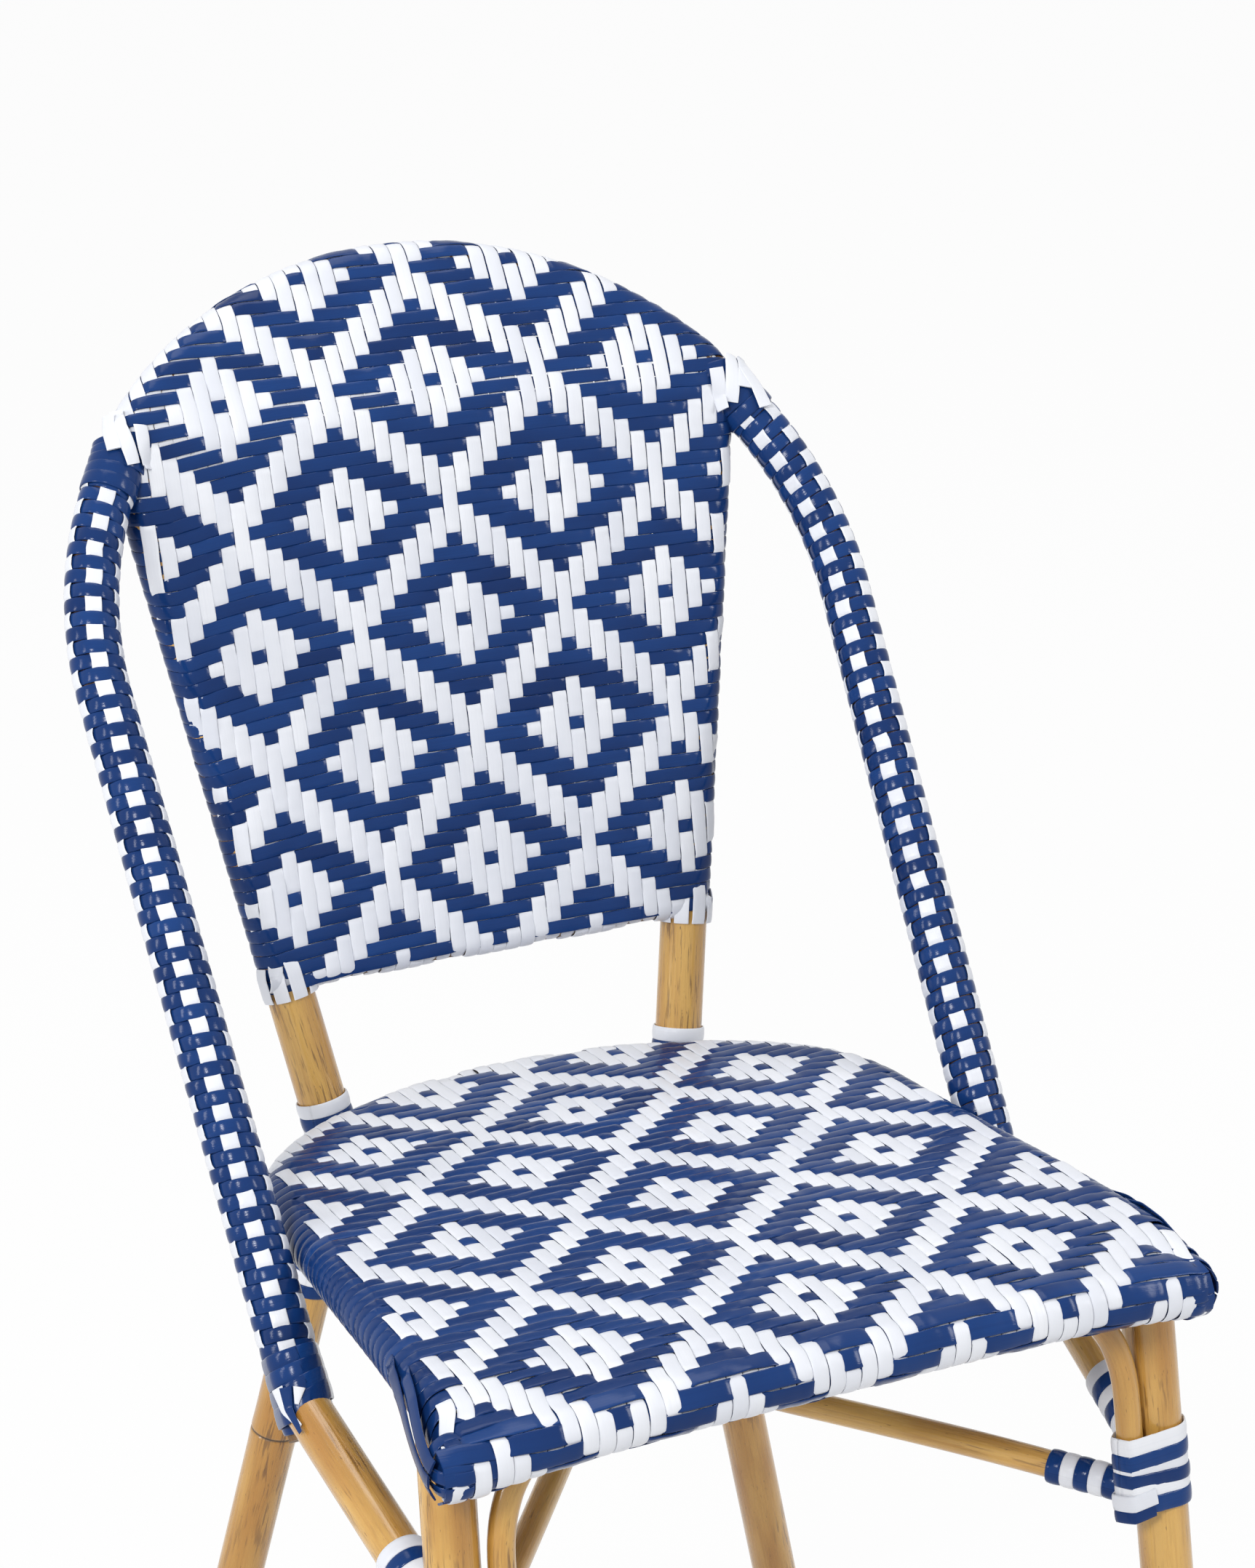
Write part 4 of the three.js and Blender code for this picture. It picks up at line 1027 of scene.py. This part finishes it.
for side, side_name in SIDES:
    whites = Piece(f"shoulder_white_strips_{side_name}")
    for number, line in enumerate(SHOULDER_WHITES[side_name]):
        reach = FAN_RADIUS + SHOULDER_WHITE_LIFT + STACK_LIFT * number
        place, out = on_front(side, arm_axis(side), line, reach)
        whites.sweep(place, out, strip_section(SHOULDER_WHITE_WIDTH, THINNEST_STRIP))
    whites.make(white_finish, "woven_strip")

# %% [markdown]
# ## Poles
# The solid poles have twelve flat sides. A real one is round, swells a little at its nodes and has a dark
# ring there. Each visible pole is swept again on the same axis and with the same radius.

# %% Poles
# How far a node's dark ring and its swelling reach, and how much it swells and is grooved.
NODE_RING, NODE_REACH = 0.7, 7
NODE_SWELL, NODE_GROOVE = 0.02, 0.045


def node_marks(along, nodes):
    """Darkness and swelling along a pole, from the distances of its nodes."""
    mark = np.zeros(len(along))
    swell = np.zeros(len(along))
    for node in nodes:
        away = along - node
        mark = np.maximum(mark, np.exp(-((away / NODE_RING) ** 2)))
        swell += NODE_SWELL * np.exp(-((away / NODE_REACH) ** 2)) - NODE_GROOVE * np.exp(-(away**2))
    return mark, swell


def pole(kind, ending, path, radius, nodes=(), level_foot=None):
    """A round pole, in the place of the solid whose name is the kind and the ending."""
    steps = distances(path)
    stations = [np.arange(0, steps[-1], 4.0), [steps[-1]]]
    stations += [node + np.linspace(-3, 3, 17) for node in nodes]
    along = np.unique(np.clip(np.concatenate(stations), 0, steps[-1]))
    mark, swell = node_marks(along, nodes)
    piece = Piece(f"{kind}_round{ending}")
    places = places_at(along, steps, path)
    piece.sweep(places, [0.3, 0.9, 0.1], round_section(radius), 1 + swell, mark, level_foot)
    piece.make(pole_finish, "pole", f"{kind}{ending}")


def rounded(corners, radius, steps=14):
    """A path through corners, each rounded by a smooth curve."""
    corners = [np.asarray(corner, float) for corner in corners]
    path = [corners[0]]
    for before, corner, after in zip(corners, corners[1:], corners[2:]):
        back, on = unit(before - corner), unit(after - corner)
        reach = radius / math.tan(math.acos(np.clip(back @ on, -1, 1)) / 2)
        share = np.linspace(0, 1, steps)[:, None]
        start, end = corner + back * reach, corner + on * reach
        path.extend((1 - share) ** 2 * start + 2 * share * (1 - share) * corner + share**2 * end)
    path.append(corners[-1])
    return np.array(path)


def at_height(start, end, height):
    """Where the straight line from start to end has the height."""
    return start + (end - start) * (height - start[2]) / (end[2] - start[2])


KNEE_BEND = 70
FRONT_LEG_NODES, REAR_LEG_NODES = [300.0], [610.0]
BRACE_RADIUS = 12.5
HEAD_Y = 2.0
HEAD_HALF = float(seat_half_width(HEAD_Y))
HEAD_TOP = float(seat_top(HEAD_HALF, HEAD_Y)) - RING_WRAP_RADIUS - 6
FRONT_HEAD = np.array([HEAD_HALF, HEAD_Y, HEAD_TOP])
FRONT_FOOT = np.array([HEAD_HALF + 12, -54.0, 0.0])
REAR_FOOT = np.array([200.0, 438.1, 0.0])
POST_HEAD = SHOULDER + unit(KNEE - SHOULDER) * 6
BRACE_FOOT = at_height(FRONT_HEAD, FRONT_FOOT, 314.5)


def front_leg(side):
    """The top and the foot of a front leg."""
    return mirrored(FRONT_HEAD, side), mirrored(FRONT_FOOT, side)


BRACE_UP = (164 - HOOP_TAIL_Y) / math.sin(HOOP_LEAN)
BRACE_OUT = HOOP_RADIUS - ARM_TOE_IN * (1 - BRACE_UP / ARM_LENGTH) + 3
BRACE_HEAD = hoop_point(BRACE_OUT, BRACE_UP) + [0, -7, 2]
BRACE_HEAD = BRACE_HEAD + unit(BRACE_FOOT - BRACE_HEAD) * 7

for side, side_name in SIDES:
    ending = f"_{side_name}"
    head, foot = front_leg(side)
    leg = [head, at_height(head, foot, GLIDE_HEIGHT)]
    pole("front_leg", ending, leg, POLE_RADIUS, FRONT_LEG_NODES, GLIDE_HEIGHT)
    knee, rear_foot = mirrored(KNEE, side), mirrored(REAR_FOOT, side)
    corners = [mirrored(POST_HEAD, side), knee, at_height(knee, rear_foot, GLIDE_HEIGHT)]
    pole("rear_leg", ending, rounded(corners, KNEE_BEND), POLE_RADIUS, REAR_LEG_NODES, GLIDE_HEIGHT)
    pole("side_brace", ending, [mirrored(BRACE_HEAD, side), mirrored(BRACE_FOOT, side)], BRACE_RADIUS)

# %% Loops and tails at the arms' lower ends
# Loops: height above the arm's end, width and tilt. Tails: height and turn from the front, in degrees.
ARM_LOOPS = [(40, 8.4, 0.6), (32.5, 9.0, 1.6), (24.5, 9.6, 3.0), (16.0, 11.0, 4.0)]
WHITE_TAIL = [(26, 66), (15, 62), (3, 50)]
BLUE_TAIL = [(25, 44), (13, 50), (0, 56)]
WHITE_CORNER = [(23, 18), (15, 32)]
ARM_GAP, BRACE_GAP = 0.4, 0.9
TAIL_TAPER = 0.65


def round_joint(side, axis, up, turn, proud):
    """Places round an arm's end and its brace, by the height along the arm and the turn from the front."""
    way = unit(axis[-1] - axis[-60])
    beside = unit(np.cross(way, hoop_front)) * -side
    head, foot = mirrored(BRACE_HEAD, side), mirrored(BRACE_FOOT, side)
    spoke = turned(hoop_front, beside, turn)
    centre = axis[-1] - up[:, None] * way
    along = np.maximum(0, ((centre - head) @ way) / ((foot - head) @ way))
    offset = head + (foot - head) * along[:, None] - centre
    offset -= (offset @ way)[:, None] * way
    arm, brace = LACING_RADIUS + ARM_GAP + proud, BRACE_RADIUS + BRACE_GAP + proud
    on_brace = ((spoke * offset).sum(1) + brace > arm)[:, None]
    return centre + np.where(on_brace, offset + spoke * brace, spoke * arm), spoke


for side, side_name in SIDES:
    axis = arm_axis(side)
    joint = Piece(f"arm_end_blue_loops_{side_name}")
    white = Piece(f"arm_end_white_tail_{side_name}")
    for number, (up, width, tilt) in enumerate(ARM_LOOPS):
        turn = closed_turn(96)
        place, out = round_joint(side, axis, up - tilt * np.sin(turn), turn, STACK_LIFT * number)
        joint.sweep(place, out, strip_section(width))
    for piece, line, proud, width in (
        (white, WHITE_TAIL, 1.9, 9.0), (joint, BLUE_TAIL, 2.5, 7.5), (white, WHITE_CORNER, 2.0, 6.5),
    ):
        share = np.linspace(0, 1, 24)
        up, turn = places_at(share, np.linspace(0, 1, len(line)), line).T
        place, out = round_joint(side, axis, up, np.radians(turn), proud)
        piece.sweep(place, out, strip_section(width, THIN_STRIP), 1 - TAIL_TAPER * share)
    joint.make(blue_finish, "woven_strip")
    white.make(white_finish, "woven_strip")

# %% Braces between the legs
ARCH_RADIUS = 7.0
ARCH_OFFSET = POLE_RADIUS + ARCH_RADIUS + 2.8
ARCH_TURN = math.radians(23)
TO_ARCH = np.array([-math.cos(ARCH_TURN), -math.sin(ARCH_TURN), 0])
RAIL_Y = -9.0
RAIL_BELOW_TOP = 21.6
ARCH_FOOT_HEIGHT = 295.8
ARCH_BEND = 68
ARCH_CROWN = float(seat_top(0, RAIL_Y)) - RAIL_BELOW_TOP - ARCH_RADIUS


def arch_side(side):
    """The lower end and the upper corner of the arch brace on one side."""
    offset = mirrored(TO_ARCH, side) * ARCH_OFFSET
    head, foot = front_leg(side)
    corner = at_height(head, foot, ARCH_CROWN) + offset
    corner[1] = RAIL_Y
    return [at_height(head, foot, ARCH_FOOT_HEIGHT) + offset, corner]


arch_path = rounded([*arch_side(-1), *arch_side(1)[::-1]], ARCH_BEND, 20)
pole("front_arch_brace", "", arch_path, ARCH_RADIUS)

CROSS_RADIUS = 7.5
CROSS_GAP = 0.3
CROSS_FRONT_HEIGHT, CROSS_REAR_HEIGHT = 293.0, 326.5
cross_paths = {}
for side, side_name, lift in ((-1, "left", 1), (1, "right", -1)):
    start = at_height(*front_leg(side), CROSS_FRONT_HEIGHT)
    end = at_height(mirrored(KNEE, -side), mirrored(REAR_FOOT, -side), CROSS_REAR_HEIGHT)
    share = np.linspace(0, 1, 30)[:, None]
    path = start + (end - start) * share
    crossing = start[0] / (start[0] - end[0])
    away = np.abs(share[:, 0] - crossing)
    path[:, 2] += lift * (CROSS_RADIUS + CROSS_GAP) * ease(1 - away / 0.5)
    cross_paths[side_name] = path
    pole("cross_brace", f"_{side_name}", path, CROSS_RADIUS)

# %% [markdown]
# ## Windings at the joints
# Where two poles meet, the real chair hides the nails under a few turns of strip, blue and white in turn.
# The turns lie side by side, so each is a closed band round its pole or pair of poles.

# %% Bands side by side, and a belt round two poles
BAND_THICKNESS = 1.6
BAND_PITCH, POST_BAND_PITCH = 8.0, 8.3
BAND_OVERLAP = 0.1
BAND_GAP, CROSS_BAND_GAP, BELT_GAP = 0.2, 0.4, 1.1


def bands_along(start, way, radius, count, colours, pitch=BAND_PITCH):
    """Closed bands side by side along a pole, in the two colours in turn."""
    out = unit(np.cross(UP, way))
    spoke = turned(out, np.cross(way, out), closed_turn(48))
    for number in range(count):
        place = start + way * pitch * number + spoke * (radius + BAND_THICKNESS / 2)
        colours[number % 2].sweep(place, spoke, strip_section(pitch + BAND_OVERLAP, BAND_THICKNESS))


def belt(spoke, to_arch):
    """Distance to a belt round a front leg and the arch brace, seen from the leg's axis."""
    leg, small = POLE_RADIUS + BELT_GAP, ARCH_RADIUS + BELT_GAP
    along = spoke @ to_arch
    reach = ARCH_OFFSET * along + np.sqrt(np.maximum(small**2 - ARCH_OFFSET**2 * (1 - along**2), 0))
    lean = math.asin((leg - small) / ARCH_OFFSET)
    angle = np.arccos(np.clip(along, -1, 1))
    straight = leg / np.maximum(np.cos(np.maximum(math.pi / 2 - lean - angle, 0)), 0.05)
    outside = np.maximum(np.minimum(straight, ARCH_OFFSET + small), reach)
    return np.where(angle < math.pi / 2 - lean, outside, leg)


print("furthest reach of the belt, mm:", ARCH_OFFSET + ARCH_RADIUS)

# %% Bands round the joints
FRONT_BAND_THICKNESS = 1.4
FRONT_BINDING_TOP = 335.5
BELT_OUTER, BELT_ACROSS = 15, 47
CROSS_BAND_START, BRACE_BAND_START = 18.5, 26
POST_BAND_HEIGHT, LASHING_HEIGHT = 410.0, 344.0
# Each band: how far down its outer and its inner side are, its width and how proud it stands.
FRONT_BANDS = [
    (4.9, 4.0, 9.6, 0.4), (13.2, 12.8, 8.8, 0.6), (21.1, 18.8, 9.4, 0.0),
    (28.2, 22.8, 7.6, 0.7), (33.9, 30.0, 8.6, 0.1), (41.0, 37.5, 9.6, 0.6),
]
# Two short strips cross the inner corner, where the cross brace meets the leg: how far round they reach,
# how far down their two ends are, their width and how proud they stand.
CORNER_BANDS = [(-0.9, (38.0, 33.5), 9.0, 2.0), (-0.75, (46.0, 41.0), 7.0, 1.6)]
WINDINGS = ("front_leg_binding", "cross_brace_wrap", "side_brace_wrap", "post_wrap", "rear_leg_binding")
for side, side_name in SIDES:
    blue = Piece(f"joint_blue_bands_{side_name}")
    white = Piece(f"joint_white_bands_{side_name}")
    head, foot = front_leg(side)
    down = unit(foot - head)
    to_arch = mirrored(TO_ARCH, side)
    to_arch = unit(to_arch - down * (to_arch @ down))
    beside = np.cross(down, to_arch)
    binding_top = at_height(head, foot, FRONT_BINDING_TOP)
    for number, (outer, inner, width, proud) in enumerate(FRONT_BANDS):
        spoke = turned(to_arch, beside, closed_turn(72))
        radius = belt(spoke, to_arch) + proud
        share = np.clip((radius * (spoke @ to_arch) + BELT_OUTER) / BELT_ACROSS, 0, 1)
        drop = outer + (inner - outer) * share
        place = binding_top + spoke * radius[:, None] + down * drop[:, None]
        (white, blue)[number % 2].sweep(place, spoke, strip_section(width, FRONT_BAND_THICKNESS))
    cross_start = cross_paths[side_name][0]
    cross_way = unit(cross_paths[side_name][8] - cross_start)
    band_start = cross_start + cross_way * CROSS_BAND_START
    bands_along(band_start, cross_way, CROSS_RADIUS + CROSS_BAND_GAP, 6, (white, blue))
    for piece, (inmost, drops, width, proud) in zip((white, blue), CORNER_BANDS):
        reach = math.acos(inmost)
        spoke = turned(to_arch, beside, np.linspace(-reach * 0.42, reach * 0.2, 26) * -side)
        place = binding_top + spoke * (belt(spoke, to_arch) + proud)[:, None]
        place += down * np.linspace(*drops, 26)[:, None]
        piece.sweep(place, spoke, strip_section(width, FRONT_BAND_THICKNESS))
    brace_way = unit(mirrored(BRACE_HEAD - BRACE_FOOT, side))
    band_start = mirrored(BRACE_FOOT, side) + brace_way * BRACE_BAND_START
    bands_along(band_start, brace_way, BRACE_RADIUS + BAND_GAP, 5, (white, blue))
    knee, post_head, rear_foot = (mirrored(place, side) for place in (KNEE, POST_HEAD, REAR_FOOT))
    on_pole = POLE_RADIUS + BAND_GAP
    band_start = at_height(knee, post_head, POST_BAND_HEIGHT)
    bands_along(band_start, unit(post_head - knee), on_pole, 3, (white, blue), POST_BAND_PITCH)
    band_start = at_height(knee, rear_foot, LASHING_HEIGHT)
    bands_along(band_start, unit(rear_foot - knee), on_pole, 5, (blue, white))
    solids = [f"{name}_{side_name}" for name in WINDINGS]
    blue.make(blue_finish, "binding_strip", *solids)
    white.make(white_finish, "binding_strip", *solids)

# %% [markdown]
# ## What stays from the solid model
# The hoop, the seat ring and the rails are hidden by the weave, and the glides are small and dark. They
# keep their solids and only get a finish. The hidden poles get a rattan colour darkened to paint the shade
# that shows in the gaps of the weave.


# %% Finishes for the solids that stay
def plain(name, colour, shade, roughness):
    finish = Finish(name)
    place = finish.node("ShaderNodeTexCoord", {}, {}, 3)
    spots = finish.node("ShaderNodeTexNoise", {}, {"Vector": place, "Scale": 220.0, "Detail": 3.0})
    colour = finish.mix(ramp(finish, spots, 0.4, 0.65), colour, shade)
    finish.shade(Base_Color=colour, Roughness=roughness, Normal=bump(finish, spots, 0.0002))
    return finish


# Painted shade: the hidden poles' rattan colour is darkened so that the gaps between the strips read as
# shade.
painted_shade_rattan_finish = plain("rattan_darkened_as_shade", ink(120, 88, 50), ink(82, 56, 30), 0.6)
glide_finish = plain("glide_plastic", ink(42, 37, 32), ink(30, 27, 24), 0.55)
for name in ("outer_hoop", "seat_ring", "seat_front_rail", "seat_middle_rail", "back_bottom_rail"):
    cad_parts[name].material_slots[0].material = painted_shade_rattan_finish.material
for name in sorted(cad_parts):
    if name.startswith("foot_glide"):
        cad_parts[name].material_slots[0].material = glide_finish.material
print("solids that stay:", sum(not node.hide_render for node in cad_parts.values()))

# %% [markdown]
# ## Floor and light
# The photograph is cut out on white. A pale floor takes a soft shadow, and rays from the camera see it
# nearly white. Four large soft lamps light the chair from the front left, the left, the front right and
# above, and the pale world fills in the rest. The floor and the lamps are placed in metres.

# %% Floor, world and lamps
scene = bpy.context.scene
scene.view_settings.view_transform = "Standard"


def rays(finish, *kinds):
    """1 for the rays of the named kinds and 0 for the rest."""
    seen = sum(finish.node("ShaderNodeLightPath", {}, {}, f"Is {kind} Ray") for kind in kinds)
    return finish.node("ShaderNodeMath", {"operation": "MINIMUM"}, {0: seen, 1: 1.0})


WHITE = (1, 1, 1, 1)
FLOOR_COLOUR = (0.8, 0.8, 0.8, 1)
FLOOR_SEEN = 0.96
WORLD_LIGHT = 0.35
REACH = 40.0
floor_mesh = bpy.data.meshes.new("floor")
floor_corners = [(-REACH, -REACH, 0), (REACH, -REACH, 0), (REACH, REACH, 0), (-REACH, REACH, 0)]
floor_mesh.from_pydata(floor_corners, [], [(0, 1, 2, 3)])
floor = bpy.data.objects.new("floor", floor_mesh)
scene.collection.objects.link(floor)
floor_finish = Finish("pale_floor")
matt = floor_finish.node("ShaderNodeBsdfDiffuse", {}, {"Color": FLOOR_COLOUR})
glow = floor_finish.node("ShaderNodeEmission", {}, {"Color": WHITE, "Strength": 1.0})
factor = rays(floor_finish, "Camera", "Glossy") * FLOOR_SEEN
floor_finish.show(floor_finish.node("ShaderNodeMixShader", {}, {0: factor, 1: matt, 2: glow}))
floor_mesh.materials.append(floor_finish.material)

studio = Finish("studio", bpy.data.worlds, "ShaderNodeOutputWorld")
scene.world = studio.material
level = rays(studio, "Camera", "Glossy", "Transmission") * (1 - WORLD_LIGHT) + WORLD_LIGHT
studio.show(studio.node("ShaderNodeBackground", {}, {"Color": WHITE, "Strength": level}))


def lamp(name, place, aim_height, size, power):
    """A soft flat lamp that points at a height on the chair's middle line."""
    data = bpy.data.lights.new(name, "AREA")
    data.shape = "RECTANGLE"
    data.size, data.size_y = size
    data.energy = power
    made = bpy.data.objects.new(name, data)
    scene.collection.objects.link(made)
    back = unit(np.array(place) - [0, 0, aim_height])
    right = unit(np.cross(UP, back))
    made.matrix_world = pose(right, np.cross(back, right), back, place)


lamp("key_lamp", (-2.1, -2.2, 2.5), 0.6, (0.7, 0.7), 66)
lamp("left_lamp", (-2.9, -0.2, 1.5), 0.6, (0.5, 1.3), 26)
lamp("right_lamp", (2.3, -1.9, 1.9), 0.6, (0.7, 1.2), 34)
lamp("top_lamp", (0.1, 0.6, 3.2), 0.5, (2.0, 1.6), 30)
